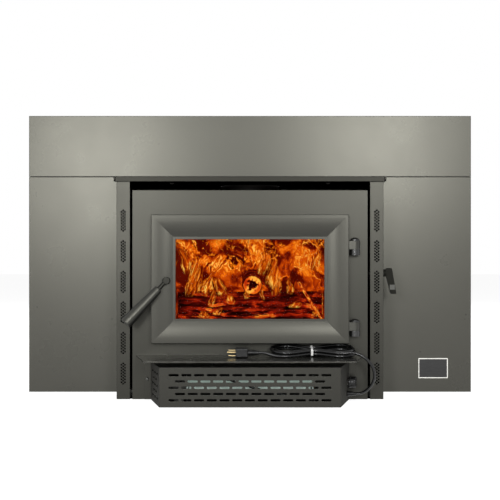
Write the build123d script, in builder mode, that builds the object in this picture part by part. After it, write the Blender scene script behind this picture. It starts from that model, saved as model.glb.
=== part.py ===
from build123d import *
import os
from math import atan2, cos, pi, radians, sin, tan

os.makedirs("parts", exist_ok=True)

# Fireplace insert with a three-panel surround. Millimetres.
# X runs to the right, Y to the back and Z up. The wall plane is y = 0, the hearth is z = 0.

# ------------------------------------------------------------------ surround
surround_width = 1118.0
surround_height = 698.0
surround_depth = 20.0
surround_sheet = 1.6
surround_bend = 1.2
seam_height = 544.3
seam_gap = 0.6
column_to_surround_gap = 2.5
bracket_sheet = 2.0
bracket_leg = 40.0
bracket_width = 40.0
side_bracket_heights = (150.0, 420.0)
top_bracket_x = 200.0
badge_width = 75.0
badge_height = 51.0
badge_thickness = 1.5
badge_inset = 58.5
badge_bottom = 34.5

# ------------------------------------------------------------------ body
body_half_width = 321.0
body_front = -158.0
body_rear = 330.0
jacket_sheet = 2.0
jacket_setback = 8.0
jacket_seam = 0.1
shelf_top = 535.0
shelf_sheet = 2.0
shelf_overhang = 10.0
shelf_front_half = 322.0
shelf_rear_half = 345.0
shelf_lip = 11.5
shelf_upstand = 9.0
shelf_rear_gap = 0.6

column_width = 32.0
column_sheet = 2.0
column_return = 60.0
hole_group_count = 6
hole_group_first = 61.5
hole_group_pitch = 73.6
hole_pitch = 7.0
hole_row_offset = 4.3
hole_radius = 2.2
centre_hole_count = 8

face_half_width = 282.8
face_height = 502.4
face_sheet = 6.0
fuel_opening_inset = 27.5
fuel_opening_corner = 12.0
air_opening_half = 140.0
air_opening_bottom = 15.0
air_opening_top = 80.0

firebox_half = 262.0
firebox_bottom = 117.0
firebox_top = 497.0
firebox_rear = 300.0
firebox_plate = 5.0
leg_x = 205.0
leg_sheet = 4.0
leg_flange = 30.0
leg_hole_radius = 30.0
leg_hole_count = 4
leg_front_setback = 12.0

flue_y = 190.0
flue_radius = 76.2
flue_wall = 2.4
flue_height = 93.0
flue_flange = 16.0
flue_flange_thickness = 3.0
flue_throat = 74.0
flue_jacket_gap = 2.0

# ------------------------------------------------------------------ firebox lining
brick_thickness = 32.0
brick_joint = 1.5
brick_front = -100.0
brick_top = 388.0
floor_brick_columns = 3
floor_brick_rows = 4
side_brick_columns = 3
side_brick_rows = 2
rear_brick_columns = 3
rear_brick_rows = 2
tube_radius = 13.0
tube_wall = 1.5
tube_height = 404.0
tube_first_y = -20.0
tube_pitch = 80.0
tube_count = 4
jet_count = 9
jet_pitch = 48.0
jet_radius = 2.0
baffle_half = 252.0
baffle_front = -45.0
baffle_thickness = 25.0

ember_height = 26.0
ember_half_width = 205.0
ember_front = -80.0
ember_rear = 220.0
log_gap = 0.3
log_tilt_room = 0.5
log_sides = 12
front_log_radius = 32.0
front_log_y = -30.0
front_log_length = 360.0
rear_log_radius = 36.0
rear_log_y = 110.0
rear_log_length = 380.0
top_log_radius = 28.0
top_log_x = 6.0
top_log_front = -62.0
top_log_length = 215.0

# ------------------------------------------------------------------ door
door_half_width = 235.5
door_bottom = 136.0
door_top = 443.0
door_depth = 30.0
door_rear = -163.0
door_corner = 3.0
door_edge = 2.0
window_half_width = 177.3
window_half_height = 95.0
window_lip = 6.0
roll_width = 44.0
roll_drop = 6.0
lip_thickness = 10.0
glass_overlap = 10.0
glass_side_gap = 1.0
glass_thickness = 5.0
glass_tape = 1.0
glass_tape_width = 9.0
glass_ledge_reach = 28.7
retainer_width = 14.0
retainer_start = 4.0
retainer_thickness = 3.0
retainer_bar_half = 150.0
retainer_clip = 60.0
retainer_clip_offset = 55.0
retainer_screw_reach = 14.5
retainer_screw_pitch = 120.0
small_screw_radius = 2.0
small_screw_hole = 2.1
small_screw_head = 4.0
small_screw_head_height = 2.5
small_screw_grip = 7.0
groove_inset = 12.0
groove_width = 12.0
groove_depth = 6.0
rope_side_gap = 0.3
rope_face_gap = 0.3

hinge_x = 250.0
hinge_y = -178.0
hinge_block = 20.0
hinge_barrel_radius = 12.5
hinge_block_centres = (176.8, 370.4)
hinge_running_gap = 0.3
hinge_pin_radius = 5.0
hinge_bore_clearance = 0.05
hinge_head_radius = 11.0
hinge_head_height = 8.0
knuckle_radius = 12.5
knuckle_height = 14.0
knuckle_web = 12.0

# ------------------------------------------------------------------ handle and latch
handle_x = -197.7
handle_z = 286.0
handle_angle = 46.5
handle_tilt = 10.0
handle_boss_radius = 9.0
handle_boss_height = 14.0
handle_boss_gap = 0.5
handle_neck_radius = 4.75
handle_neck_length = 27.0
handle_neck_in_grip = 18.0
grip_start_radius = 9.5
grip_end_radius = 14.8
grip_length = 113.0
grip_end_rounding = 4.0
grip_start_rounding = 2.5
handle_shaft_radius = 5.0
bushing_wall = 3.0
bushing_proud = 1.0
shaft_running_clearance = 0.05
cam_front = -146.0
cam_thickness = 6.0
cam_hub_radius = 10.0
cam_reach = 26.0
cam_tip_radius = 5.0
cam_nut_across = 13.0
cam_nut_height = 6.5
cam_thread_radius = 4.0
cam_thread_end = 1.5
keeper_gap = 0.4
keeper_edge_gap = 1.0
keeper_length = 26.0
keeper_bottom = 300.0
keeper_height = 25.0

# ------------------------------------------------------------------ combustion air lever
lever_y = -125.0
lever_z = 303.0
lever_shaft_radius = 5.0
lever_shaft_inner = 267.0
lever_hub_radius = 9.0
lever_hub_end = 331.0
lever_bushing_radius = 8.0
lever_bushing_flange = 11.0
lever_bushing_flange_thickness = 1.5
lever_end_gap = 0.3
lever_bar_width = 14.0
lever_bar_thickness = 8.0
lever_bar_above = 12.0
lever_bar_below = 51.0
lever_bar_lean = 11.0
lever_bar_rounding = 2.0
crank_radius = 25.0
crank_thickness = 4.0
crank_end_radius = 6.0
crank_pin_radius = 3.0
crank_pin_end = 262.8
shutter_gap = 0.3
shutter_sheet = 2.0
shutter_front = -133.0
shutter_length = 38.0
shutter_bottom = 225.0
shutter_top = 291.0
shutter_slot_width = 8.4
shutter_slot_height = 22.0
shutter_slot_rise = 3.0
shutter_travel = 16.0
air_hole_y = -124.0
air_hole_radius = 7.0
air_hole_heights = (236.0, 254.0)
guide_front = -150.0
guide_rear = -80.0
guide_depth = 4.2
guide_bar = 5.0
guide_lip = 3.0

# ------------------------------------------------------------------ ash lip
ash_lip_top = 106.5
ash_lip_sheet = 3.0
ash_lip_rear_half = 273.7
ash_lip_front_half = 240.0
ash_lip_depth = 160.0
ash_lip_corner = 4.0
ash_lip_flange = 14.0
ash_lip_flange_half = 230.0
ash_lip_screw_x = (70.0, 190.0)
ash_lip_screw_z = 98.0

# ------------------------------------------------------------------ blower box and blower
box_height = 91.0
box_depth = 141.0
box_front_half = 206.8
box_rear_half = 238.6
box_sheet = 1.5
box_flange = 15.0
slot_length = 23.2
slot_width = 5.2
slot_pitch = 29.0
slot_row_pitch = 14.3
slot_row_centre = 45.0
slot_long_row = 13
side_slot_pitch = 36.0
side_slot_long_row = 3

fan_y = -228.0
fan_z = 44.0
fan_radius = 28.0
fan_blade_depth = 8.0
fan_blade_thickness = 1.2
fan_blade_tilt = 35.0
fan_blade_count = 20
fan_half_length = 141.0
fan_disc_thickness = 1.5
fan_disc_count = 4
fan_shaft_radius = 4.0
fan_shaft_clearance = 0.05
fan_shaft_left = -185.0
housing_half = 145.0
housing_sheet = 1.5
housing_radius = 34.0
housing_front = -266.0
housing_rear = -159.5
housing_top = 83.0
housing_inlet_half = 15.0
bearing_radius = 9.0
bearing_length = 6.5
motor_radius = 30.0
motor_length = 40.0
motor_foot_half = 14.0
motor_foot_length = 24.0

knob_along = 0.2
knob_z = 45.0
knob_radius = 14.5
knob_length = 17.0
knob_gap = 3.5
knob_edge = 2.0
knob_recess_radius = 6.0
knob_recess_depth = 3.0
knob_mark_width = 1.4
knob_mark_length = 9.0
knob_mark_depth = 0.6
control_size = 24.0
control_depth = 16.0
control_thread_radius = 4.5
control_thread_length = 5.0
control_spindle_radius = 3.0
control_spindle_sunk = 3.0
knob_nut_across = 12.0
knob_nut_thickness = 2.0

# ------------------------------------------------------------------ mains lead
cord_diameter = 7.0
relief_along = 0.28
relief_z = 19.0
relief_base_radius = 6.5
relief_tip_radius = 4.3
relief_length = 20.0
relief_neck_radius = 5.0
relief_collar_radius = 7.0
relief_collar_thickness = 2.0

hank_y = -198.3
hank_lean = 10.5
hank_left = 87.0
hank_right = 205.0
hank_half_width = 37.0
hank_pitch = 10.0
hank_waist_half = 5.0
hank_layer = 7.6
hank_lift = 0.05

tie_gap = 0.4
tie_thickness = 0.9
tie_width = 5.0

plug_y = -231.0
plug_rear = -5.0
plug_front = -33.5
plug_depth = 27.0
plug_height = 23.0
plug_seat_gap = 0.3
plug_rounding = 4.0
plug_relief_length = 26.0
plug_relief_start = 6.2
plug_relief_end = 4.4
plug_relief_ribs = 3
plug_rib_width = 3.4
plug_rib_pitch = 6.4
plug_rib_proud = 1.3
blade_length = 17.0
blade_width = 6.35
blade_thickness = 1.52
blade_spacing = 12.7
earth_pin_radius = 2.4
earth_pin_offset = 11.9
earth_pin_length = 20.0

# ------------------------------------------------------------------ screws
face_screw_x = 247.0
face_screw_z = 48.6
screw_radius = 2.5
screw_hole = 2.6
screw_head_radius = 4.5
screw_head_height = 3.0
screw_end = 2.0
jacket_screw_y = -112.0
jacket_screw_heights = (80.0, 220.0, 440.0)
levelling_x = 290.0
levelling_y = (-125.0, 300.0)
levelling_radius = 5.0
levelling_clearance = 0.1
levelling_across = 17.0
levelling_head = 7.0
levelling_shank = 13.0
levelling_floor_gap = 0.5

# ------------------------------------------------------------------ derived places
surround_half = surround_width / 2
jacket_half = body_half_width - column_sheet
jacket_top = shelf_top - shelf_sheet
jacket_front = body_front + jacket_setback
face_rear = body_front + face_sheet
firebox_inner_half = firebox_half - firebox_plate
firebox_floor = firebox_bottom + firebox_plate
firebox_inner_rear = firebox_rear - firebox_plate
brick_face = firebox_floor + brick_thickness
door_front = door_rear - door_depth
door_z = (door_bottom + door_top) / 2
door_half_height = (door_top - door_bottom) / 2
lip_front = door_front + roll_drop
lip_rear = lip_front + lip_thickness
glass_front = lip_rear + glass_tape
glass_rear = glass_front + glass_thickness
box_front = body_front - box_depth
ash_lip_bottom = ash_lip_top - ash_lip_sheet
open_end = 1.0


def front_plane(y):
    """Upright plane at depth y, seen from the front; extrusions run towards the viewer."""
    return Plane.XZ.offset(-y)


def rectangle_between(left, right, bottom, top, mode=Mode.ADD):
    """Rectangle given by its four sides, in the sketch that is open."""
    with Locations(((left + right) / 2, (bottom + top) / 2)):
        Rectangle(right - left, top - bottom, mode=mode)


# ================================================================== surround
def folded_panel(left, right, bottom, top):
    """Sheet panel whose four edges are folded back to the wall."""
    with BuildPart() as panel:
        with BuildSketch(front_plane(0)):
            rectangle_between(left, right, bottom, top)
        extrude(amount=surround_depth)
        fillet(panel.faces().sort_by(Axis.Y)[0].edges(), surround_bend)
        with BuildSketch(front_plane(0)):
            rectangle_between(
                left + surround_sheet, right - surround_sheet, bottom + surround_sheet, top - surround_sheet
            )
        extrude(amount=surround_depth - surround_sheet, mode=Mode.SUBTRACT)
    return panel


side_panel_inner = body_half_width + column_to_surround_gap
side_panel_top = seam_height - seam_gap

surround_top = folded_panel(-surround_half, surround_half, seam_height, surround_height)
surround_top.part.label = "surround_top"
export_step(surround_top.part, "parts/surround_top.step")

surround_left = folded_panel(-surround_half, -side_panel_inner, 0, side_panel_top)
surround_left.part.label = "surround_left"
export_step(surround_left.part, "parts/surround_left.step")

surround_right = folded_panel(side_panel_inner, surround_half, 0, side_panel_top)
surround_right.part.label = "surround_right"
export_step(surround_right.part, "parts/surround_right.step")

with BuildPart() as badge_plate:
    with BuildSketch(front_plane(-surround_depth)):
        with Locations((surround_half - badge_inset - badge_width / 2, badge_bottom + badge_height / 2)):
            RectangleRounded(badge_width, badge_height, badge_thickness)
    extrude(amount=badge_thickness)
    chamfer(badge_plate.faces().sort_by(Axis.Y)[0].edges(), badge_thickness / 3)
badge_plate.part.label = "badge_plate"
export_step(badge_plate.part, "parts/badge_plate.step")

# Brackets carry the surround on the jacket: a leg along the jacket and a leg behind each panel's fold.
with BuildPart() as surround_brackets:
    for side in (-1, 1):
        for height in side_bracket_heights:
            with BuildSketch(Plane.XY.offset(height - bracket_width / 2)):
                with BuildLine():
                    Polyline(
                        (side * jacket_half, 0),
                        (side * (jacket_half + bracket_leg), 0),
                        (side * (jacket_half + bracket_leg), bracket_sheet),
                        (side * (jacket_half + bracket_sheet), bracket_sheet),
                        (side * (jacket_half + bracket_sheet), bracket_leg),
                        (side * jacket_half, bracket_leg),
                        close=True,
                    )
                make_face()
            extrude(amount=bracket_width)
        with BuildSketch(Plane.YZ.offset(side * top_bracket_x - bracket_width / 2)):
            with BuildLine():
                Polyline(
                    (0, jacket_top),
                    (bracket_leg, jacket_top),
                    (bracket_leg, jacket_top + bracket_sheet),
                    (bracket_sheet, jacket_top + bracket_sheet),
                    (bracket_sheet, jacket_top + bracket_leg),
                    (0, jacket_top + bracket_leg),
                    close=True,
                )
            make_face()
        extrude(amount=bracket_width)
    for side in (-1, 1):
        with BuildSketch(Plane.YZ.offset(side * (jacket_half + bracket_sheet))):
            with Locations(*[(bracket_leg / 2, height) for height in side_bracket_heights]):
                Circle(screw_hole)
        extrude(amount=-side * bracket_sheet, mode=Mode.SUBTRACT)
    with BuildSketch(Plane.XY.offset(jacket_top)):
        with Locations((-top_bracket_x, bracket_leg / 2), (top_bracket_x, bracket_leg / 2)):
            Circle(screw_hole)
    extrude(amount=bracket_sheet, mode=Mode.SUBTRACT)
surround_brackets.part.label = "surround_brackets"
export_step(surround_brackets.part, "parts/surround_brackets.step")

with BuildPart() as surround_screws:
    for side in (-1, 1):
        with BuildSketch(Plane.YZ.offset(side * (jacket_half + bracket_sheet))):
            with Locations(*[(bracket_leg / 2, height) for height in side_bracket_heights]):
                Circle(screw_head_radius)
        extrude(amount=side * screw_head_height)
        with BuildSketch(Plane.YZ.offset(side * (jacket_half + bracket_sheet))):
            with Locations(*[(bracket_leg / 2, height) for height in side_bracket_heights]):
                Circle(screw_radius)
        extrude(amount=-side * (bracket_sheet + jacket_sheet + screw_end))
    with BuildSketch(Plane.XY.offset(jacket_top + bracket_sheet)):
        with Locations((-top_bracket_x, bracket_leg / 2), (top_bracket_x, bracket_leg / 2)):
            Circle(screw_head_radius)
    extrude(amount=screw_head_height)
    with BuildSketch(Plane.XY.offset(jacket_top + bracket_sheet)):
        with Locations((-top_bracket_x, bracket_leg / 2), (top_bracket_x, bracket_leg / 2)):
            Circle(screw_radius)
    extrude(amount=-(bracket_sheet + jacket_sheet + screw_end))
surround_screws.part.label = "surround_screws"
export_step(surround_screws.part, "parts/surround_screws.step")

# ================================================================== convection jacket
# Floor, top, two sides and back are flat sheets with a fine seam between them.
jacket_wall_inset = jacket_sheet + jacket_seam
jacket_wall_height = jacket_top - 2 * jacket_wall_inset
with BuildPart() as outer_jacket:
    for bottom in (0, jacket_top - jacket_sheet):
        with BuildSketch(Plane.XY.offset(bottom)):
            rectangle_between(-jacket_half, jacket_half, jacket_front, body_rear)
        extrude(amount=jacket_sheet)
    wall_plane = Plane.XY.offset(jacket_wall_inset)
    for side in (-1, 1):
        with BuildSketch(wall_plane):
            rectangle_between(side * (jacket_half - jacket_sheet), side * jacket_half, jacket_front, body_rear)
        extrude(amount=jacket_wall_height)
    with BuildSketch(wall_plane):
        rectangle_between(
            -jacket_half + jacket_wall_inset,
            jacket_half - jacket_wall_inset,
            body_rear - jacket_sheet,
            body_rear,
        )
    extrude(amount=jacket_wall_height)
    with BuildSketch(Plane.XY.offset(jacket_top)):
        with Locations((0, flue_y)):
            Circle(flue_radius + flue_wall + flue_jacket_gap)
        with Locations((-top_bracket_x, bracket_leg / 2), (top_bracket_x, bracket_leg / 2)):
            Circle(screw_hole)
    extrude(amount=-jacket_sheet, mode=Mode.SUBTRACT)
    with BuildSketch(Plane.XY):
        with Locations(*[(side * levelling_x, y) for side in (-1, 1) for y in levelling_y]):
            Circle(levelling_radius + levelling_clearance)
    extrude(amount=jacket_sheet, mode=Mode.SUBTRACT)
    for side in (-1, 1):
        with BuildSketch(Plane.YZ.offset(side * jacket_half)):
            with Locations(*[(jacket_screw_y, height) for height in jacket_screw_heights]):
                Circle(screw_hole)
            with Locations(*[(bracket_leg / 2, height) for height in side_bracket_heights]):
                Circle(screw_hole)
        extrude(amount=-side * jacket_sheet, mode=Mode.SUBTRACT)
    with BuildSketch(Plane.YZ.offset(jacket_half)):
        with Locations((lever_y, lever_z)):
            Circle(lever_bushing_radius)
    extrude(amount=-jacket_sheet, mode=Mode.SUBTRACT)
outer_jacket.part.label = "outer_jacket"
export_step(outer_jacket.part, "parts/outer_jacket.step")

with BuildPart() as levelling_bolts:
    with BuildSketch(Plane.XY.offset(levelling_floor_gap)):
        with Locations(*[(side * levelling_x, y) for side in (-1, 1) for y in levelling_y]):
            Circle(levelling_radius)
    extrude(amount=levelling_shank)
    with BuildSketch(Plane.XY.offset(levelling_floor_gap + levelling_shank)):
        with Locations(*[(side * levelling_x, y) for side in (-1, 1) for y in levelling_y]):
            RegularPolygon(levelling_across / 2, 6, major_radius=False)
    extrude(amount=levelling_head)
levelling_bolts.part.label = "levelling_bolts"
export_step(levelling_bolts.part, "parts/levelling_bolts.step")


def column(side):
    """Perforated column: a front flange and a return along the jacket, on the side given."""
    inner = body_half_width - column_width
    with BuildPart() as profile:
        with BuildSketch(Plane.XY):
            with BuildLine():
                Polyline(
                    (side * inner, body_front),
                    (side * body_half_width, body_front),
                    (side * body_half_width, body_front + column_return),
                    (side * jacket_half, body_front + column_return),
                    (side * jacket_half, body_front + column_sheet),
                    (side * inner, body_front + column_sheet),
                    close=True,
                )
            make_face()
        extrude(amount=jacket_top)
        corner = profile.edges().filter_by(Axis.Z).sort_by(Axis.Y)[:2].sort_by(Axis.X)
        fillet(corner[-1] if side > 0 else corner[0], column_sheet / 2)
        with BuildSketch(front_plane(body_front)):
            for group in range(hole_group_count):
                height = hole_group_first + group * hole_group_pitch
                centre_x = side * (body_half_width - column_width / 2)
                with Locations((centre_x, height)):
                    with GridLocations(0, hole_pitch, 1, centre_hole_count):
                        Circle(hole_radius)
                    with GridLocations(2 * hole_row_offset, hole_pitch, 2, centre_hole_count - 1):
                        Circle(hole_radius)
        extrude(amount=-column_sheet, mode=Mode.SUBTRACT)
        with BuildSketch(Plane.YZ.offset(side * body_half_width)):
            with Locations(*[(jacket_screw_y, z) for z in jacket_screw_heights]):
                Circle(screw_hole)
            if side > 0:
                with Locations((lever_y, lever_z)):
                    Circle(lever_bushing_radius)
        extrude(amount=-side * column_sheet, mode=Mode.SUBTRACT)
    return profile


left_column = column(-1)
left_column.part.label = "left_column"
export_step(left_column.part, "parts/left_column.step")

right_column = column(1)
right_column.part.label = "right_column"
export_step(right_column.part, "parts/right_column.step")

with BuildPart() as jacket_screws:
    for side in (-1, 1):
        with BuildSketch(Plane.YZ.offset(side * body_half_width)):
            with Locations(*[(jacket_screw_y, height) for height in jacket_screw_heights]):
                Circle(screw_head_radius)
        extrude(amount=side * screw_head_height)
        with BuildSketch(Plane.YZ.offset(side * body_half_width)):
            with Locations(*[(jacket_screw_y, height) for height in jacket_screw_heights]):
                Circle(screw_radius)
        extrude(amount=-side * (column_sheet + jacket_sheet + screw_end))
jacket_screws.part.label = "jacket_screws"
export_step(jacket_screws.part, "parts/jacket_screws.step")

# Shelf: a plate that widens to the back, with a lip in front and a low upstand against the surround.
shelf_front = body_front - shelf_overhang
shelf_rear = -surround_depth - shelf_rear_gap
with BuildPart() as top_shelf:
    with BuildSketch(Plane.XY.offset(jacket_top)):
        with BuildLine():
            Polyline(
                (-shelf_front_half, shelf_front),
                (shelf_front_half, shelf_front),
                (shelf_rear_half, shelf_rear),
                (-shelf_rear_half, shelf_rear),
                close=True,
            )
        make_face()
    extrude(amount=shelf_sheet)
    with BuildSketch(Plane.XY.offset(shelf_top)):
        rectangle_between(-shelf_front_half, shelf_front_half, shelf_front, shelf_front + shelf_sheet)
    extrude(amount=-shelf_lip)
    with BuildSketch(Plane.XY.offset(jacket_top)):
        rectangle_between(-shelf_rear_half, shelf_rear_half, shelf_rear - shelf_sheet, shelf_rear)
    extrude(amount=shelf_sheet + shelf_upstand)
    front_edge = top_shelf.edges().filter_by(Axis.X).group_by(Axis.Y)[0].sort_by(Axis.Z)[-1]
    fillet(front_edge, shelf_sheet * 0.7)
top_shelf.part.label = "top_shelf"
export_step(top_shelf.part, "parts/top_shelf.step")

# ================================================================== firebox
with BuildPart() as firebox_shell:
    with BuildSketch(Plane.XY.offset(firebox_bottom)):
        rectangle_between(-firebox_half, firebox_half, face_rear, firebox_rear)
    extrude(amount=firebox_top - firebox_bottom)
    with BuildSketch(Plane.XY.offset(firebox_floor)):
        rectangle_between(
            -firebox_inner_half, firebox_inner_half, face_rear - open_end, firebox_inner_rear
        )
    extrude(amount=firebox_top - firebox_bottom - 2 * firebox_plate, mode=Mode.SUBTRACT)
    with BuildSketch(Plane.XY.offset(firebox_top)):
        with Locations((0, flue_y)):
            Circle(flue_throat)
    extrude(amount=-firebox_plate, mode=Mode.SUBTRACT)
    with BuildSketch(Plane.YZ.offset(firebox_half)):
        with Locations(*[(air_hole_y, height) for height in air_hole_heights]):
            Circle(air_hole_radius)
    extrude(amount=-firebox_plate, mode=Mode.SUBTRACT)
firebox_shell.part.label = "firebox_shell"
export_step(firebox_shell.part, "parts/firebox_shell.step")

leg_front = face_rear + leg_front_setback
with BuildPart() as firebox_legs:
    for side in (-1, 1):
        with BuildSketch(Plane.XY.offset(jacket_sheet)):
            with Locations((side * leg_x, (leg_front + firebox_rear) / 2)):
                Rectangle(leg_sheet, firebox_rear - leg_front)
        extrude(amount=firebox_bottom - jacket_sheet)
        with BuildSketch(Plane.XY.offset(firebox_bottom)):
            with Locations((side * (leg_x + leg_flange / 2), (leg_front + firebox_rear) / 2)):
                Rectangle(leg_flange, firebox_rear - leg_front)
        extrude(amount=-leg_sheet)
    with BuildSketch(Plane.YZ.offset(-leg_x - leg_sheet)):
        with Locations(((leg_front + firebox_rear) / 2, (jacket_sheet + firebox_bottom) / 2)):
            with GridLocations((firebox_rear - leg_front) / leg_hole_count, 0, leg_hole_count, 1):
                Circle(leg_hole_radius)
    extrude(amount=2 * (leg_x + leg_sheet), mode=Mode.SUBTRACT)
firebox_legs.part.label = "firebox_legs"
export_step(firebox_legs.part, "parts/firebox_legs.step")

with BuildPart() as flue_collar:
    with BuildSketch(Plane.XY.offset(firebox_top)):
        with Locations((0, flue_y)):
            Circle(flue_radius + flue_wall)
            Circle(flue_radius, mode=Mode.SUBTRACT)
    extrude(amount=flue_height)
    with BuildSketch(Plane.XY.offset(firebox_top)):
        with Locations((0, flue_y)):
            Circle(flue_radius + flue_wall + flue_flange)
            Circle(flue_radius, mode=Mode.SUBTRACT)
    extrude(amount=flue_flange_thickness)
flue_collar.part.label = "flue_collar"
export_step(flue_collar.part, "parts/flue_collar.step")

fuel_half_width = door_half_width - fuel_opening_inset
fuel_half_height = door_half_height - fuel_opening_inset
with BuildPart() as face_plate:
    with BuildSketch(front_plane(face_rear)):
        rectangle_between(-face_half_width, face_half_width, 0, face_height)
        with Locations((0, door_z)):
            RectangleRounded(
                2 * fuel_half_width, 2 * fuel_half_height, fuel_opening_corner, mode=Mode.SUBTRACT
            )
        rectangle_between(
            -air_opening_half, air_opening_half, air_opening_bottom, air_opening_top, mode=Mode.SUBTRACT
        )
        with Locations((-face_screw_x, face_screw_z), (face_screw_x, face_screw_z)):
            Circle(screw_hole, mode=Mode.SUBTRACT)
        with Locations(*[(side * x, ash_lip_screw_z) for side in (-1, 1) for x in ash_lip_screw_x]):
            Circle(screw_hole, mode=Mode.SUBTRACT)
    extrude(amount=face_sheet)
face_plate.part.label = "face_plate"
export_step(face_plate.part, "parts/face_plate.step")

# ------------------------------------------------------------------ lining
floor_brick_rear = firebox_inner_rear - brick_thickness - brick_joint
floor_depth = floor_brick_rear - brick_front
floor_half = firebox_inner_half - brick_thickness - brick_joint
floor_pitch_x = (2 * floor_half + brick_joint) / floor_brick_columns
floor_pitch_y = (floor_depth + brick_joint) / floor_brick_rows
with BuildPart() as floor_bricks:
    with BuildSketch(Plane.XY.offset(firebox_floor)):
        with Locations((0, (brick_front + floor_brick_rear) / 2)):
            with GridLocations(floor_pitch_x, floor_pitch_y, floor_brick_columns, floor_brick_rows):
                Rectangle(floor_pitch_x - brick_joint, floor_pitch_y - brick_joint)
    extrude(amount=brick_thickness)
floor_bricks.part.label = "floor_bricks"
export_step(floor_bricks.part, "parts/floor_bricks.step")

side_depth = firebox_inner_rear - brick_front
side_height = brick_top - firebox_floor
side_pitch_y = (side_depth + brick_joint) / side_brick_columns
side_pitch_z = (side_height + brick_joint) / side_brick_rows


def side_bricks(side):
    """Wall of bricks against the left or right plate of the firebox."""
    with BuildPart() as wall:
        with BuildSketch(Plane.YZ.offset(side * firebox_inner_half)):
            with Locations(((brick_front + firebox_inner_rear) / 2, (firebox_floor + brick_top) / 2)):
                with GridLocations(side_pitch_y, side_pitch_z, side_brick_columns, side_brick_rows):
                    Rectangle(side_pitch_y - brick_joint, side_pitch_z - brick_joint)
        extrude(amount=-side * brick_thickness)
    return wall


left_side_bricks = side_bricks(-1)
left_side_bricks.part.label = "left_side_bricks"
export_step(left_side_bricks.part, "parts/left_side_bricks.step")

right_side_bricks = side_bricks(1)
right_side_bricks.part.label = "right_side_bricks"
export_step(right_side_bricks.part, "parts/right_side_bricks.step")

rear_pitch_x = (2 * floor_half + brick_joint) / rear_brick_columns
rear_pitch_z = (side_height + brick_joint) / rear_brick_rows
with BuildPart() as rear_bricks:
    with BuildSketch(front_plane(firebox_inner_rear)):
        with Locations((0, (firebox_floor + brick_top) / 2)):
            with GridLocations(rear_pitch_x, rear_pitch_z, rear_brick_columns, rear_brick_rows):
                Rectangle(rear_pitch_x - brick_joint, rear_pitch_z - brick_joint)
    extrude(amount=brick_thickness)
rear_bricks.part.label = "rear_bricks"
export_step(rear_bricks.part, "parts/rear_bricks.step")

with BuildPart() as secondary_air_tubes:
    tube_centres = [(tube_first_y + index * tube_pitch, tube_height) for index in range(tube_count)]
    with BuildSketch(Plane.YZ.offset(-firebox_inner_half)):
        with Locations(*tube_centres):
            Circle(tube_radius)
        with Locations(*tube_centres):
            Circle(tube_radius - tube_wall, mode=Mode.SUBTRACT)
    extrude(amount=2 * firebox_inner_half)
    with BuildSketch(Plane.XY.offset(tube_height)):
        with Locations((0, tube_first_y + tube_pitch * (tube_count - 1) / 2)):
            with GridLocations(jet_pitch, tube_pitch, jet_count, tube_count):
                Circle(jet_radius)
    extrude(amount=-tube_radius - open_end, mode=Mode.SUBTRACT)
secondary_air_tubes.part.label = "secondary_air_tubes"
export_step(secondary_air_tubes.part, "parts/secondary_air_tubes.step")

with BuildPart() as baffle_board:
    with BuildSketch(Plane.XY.offset(tube_height + tube_radius)):
        rectangle_between(-baffle_half, baffle_half, baffle_front, firebox_inner_rear - brick_joint)
    extrude(amount=baffle_thickness)
baffle_board.part.label = "baffle_board"
export_step(baffle_board.part, "parts/baffle_board.step")

# ------------------------------------------------------------------ fire
ember_top = brick_face + ember_height
with BuildPart() as ember_bed:
    with BuildSketch(Plane.XY.offset(brick_face)):
        with Locations((0, (ember_front + ember_rear) / 2)):
            RectangleRounded(2 * ember_half_width, ember_rear - ember_front, 4 * ember_height / 3)
    extrude(amount=ember_height)
    chamfer(ember_bed.faces().sort_by(Axis.Z)[-1].edges(), ember_height * 0.7)
ember_bed.part.label = "ember_bed"
export_step(ember_bed.part, "parts/ember_bed.step")

front_log_z = ember_top + log_gap + front_log_radius
rear_log_z = ember_top + log_gap + rear_log_radius
top_log_rise = atan2(
    rear_log_z + rear_log_radius - front_log_z - front_log_radius, rear_log_y - front_log_y
)
top_log_z = (
    front_log_z
    + (front_log_radius + log_gap + top_log_radius) / cos(top_log_rise)
    + (top_log_front - front_log_y) * tan(top_log_rise)
)
with BuildPart() as logs:
    with BuildSketch(Plane.YZ.offset(-front_log_length / 2)):
        with Locations((front_log_y, front_log_z)):
            RegularPolygon(front_log_radius, log_sides, major_radius=False, rotation=180 / log_sides)
    extrude(amount=front_log_length)
    with BuildSketch(Plane.YZ.offset(-rear_log_length / 2)):
        with Locations((rear_log_y, rear_log_z)):
            RegularPolygon(rear_log_radius, log_sides, major_radius=False, rotation=180 / log_sides)
    extrude(amount=rear_log_length)
    top_log_plane = Plane(
        origin=(top_log_x, top_log_front, top_log_z + log_tilt_room),
        x_dir=(1, 0, 0),
        z_dir=(0, cos(top_log_rise), sin(top_log_rise)),
    )
    with BuildSketch(top_log_plane):
        RegularPolygon(top_log_radius, log_sides, major_radius=False, rotation=180 / log_sides)
    extrude(amount=top_log_length)
logs.part.label = "logs"
export_step(logs.part, "parts/logs.step")

# ================================================================== door
glass_half_width = window_half_width + glass_overlap
glass_half_height = window_half_height + glass_overlap


def window_section(half_opening):
    """Section across the window: a rolled edge in front, then the lip. X is across, Y is depth."""
    roll_end = half_opening + window_lip
    with BuildSketch() as section:
        with BuildLine():
            roll = TangentArc((roll_end + roll_width, door_front), (roll_end, lip_front), tangent=(-1, 0))
            inner = Polyline(roll @ 1, (half_opening, lip_front), (half_opening, door_rear), (0, door_rear))
            Polyline(inner @ 1, (0, door_front), roll @ 0)
        make_face()
        mirror(about=Plane.YZ)
    return section.sketch


plan_section = window_section(window_half_width)
side_section = window_section(window_half_height)
plan_plane = Plane(origin=(0, 0, door_bottom), x_dir=(1, 0, 0), z_dir=(0, 0, 1))
side_section_plane = Plane(origin=(door_half_width, 0, door_z), x_dir=(0, 0, 1), z_dir=(-1, 0, 0))

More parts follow.
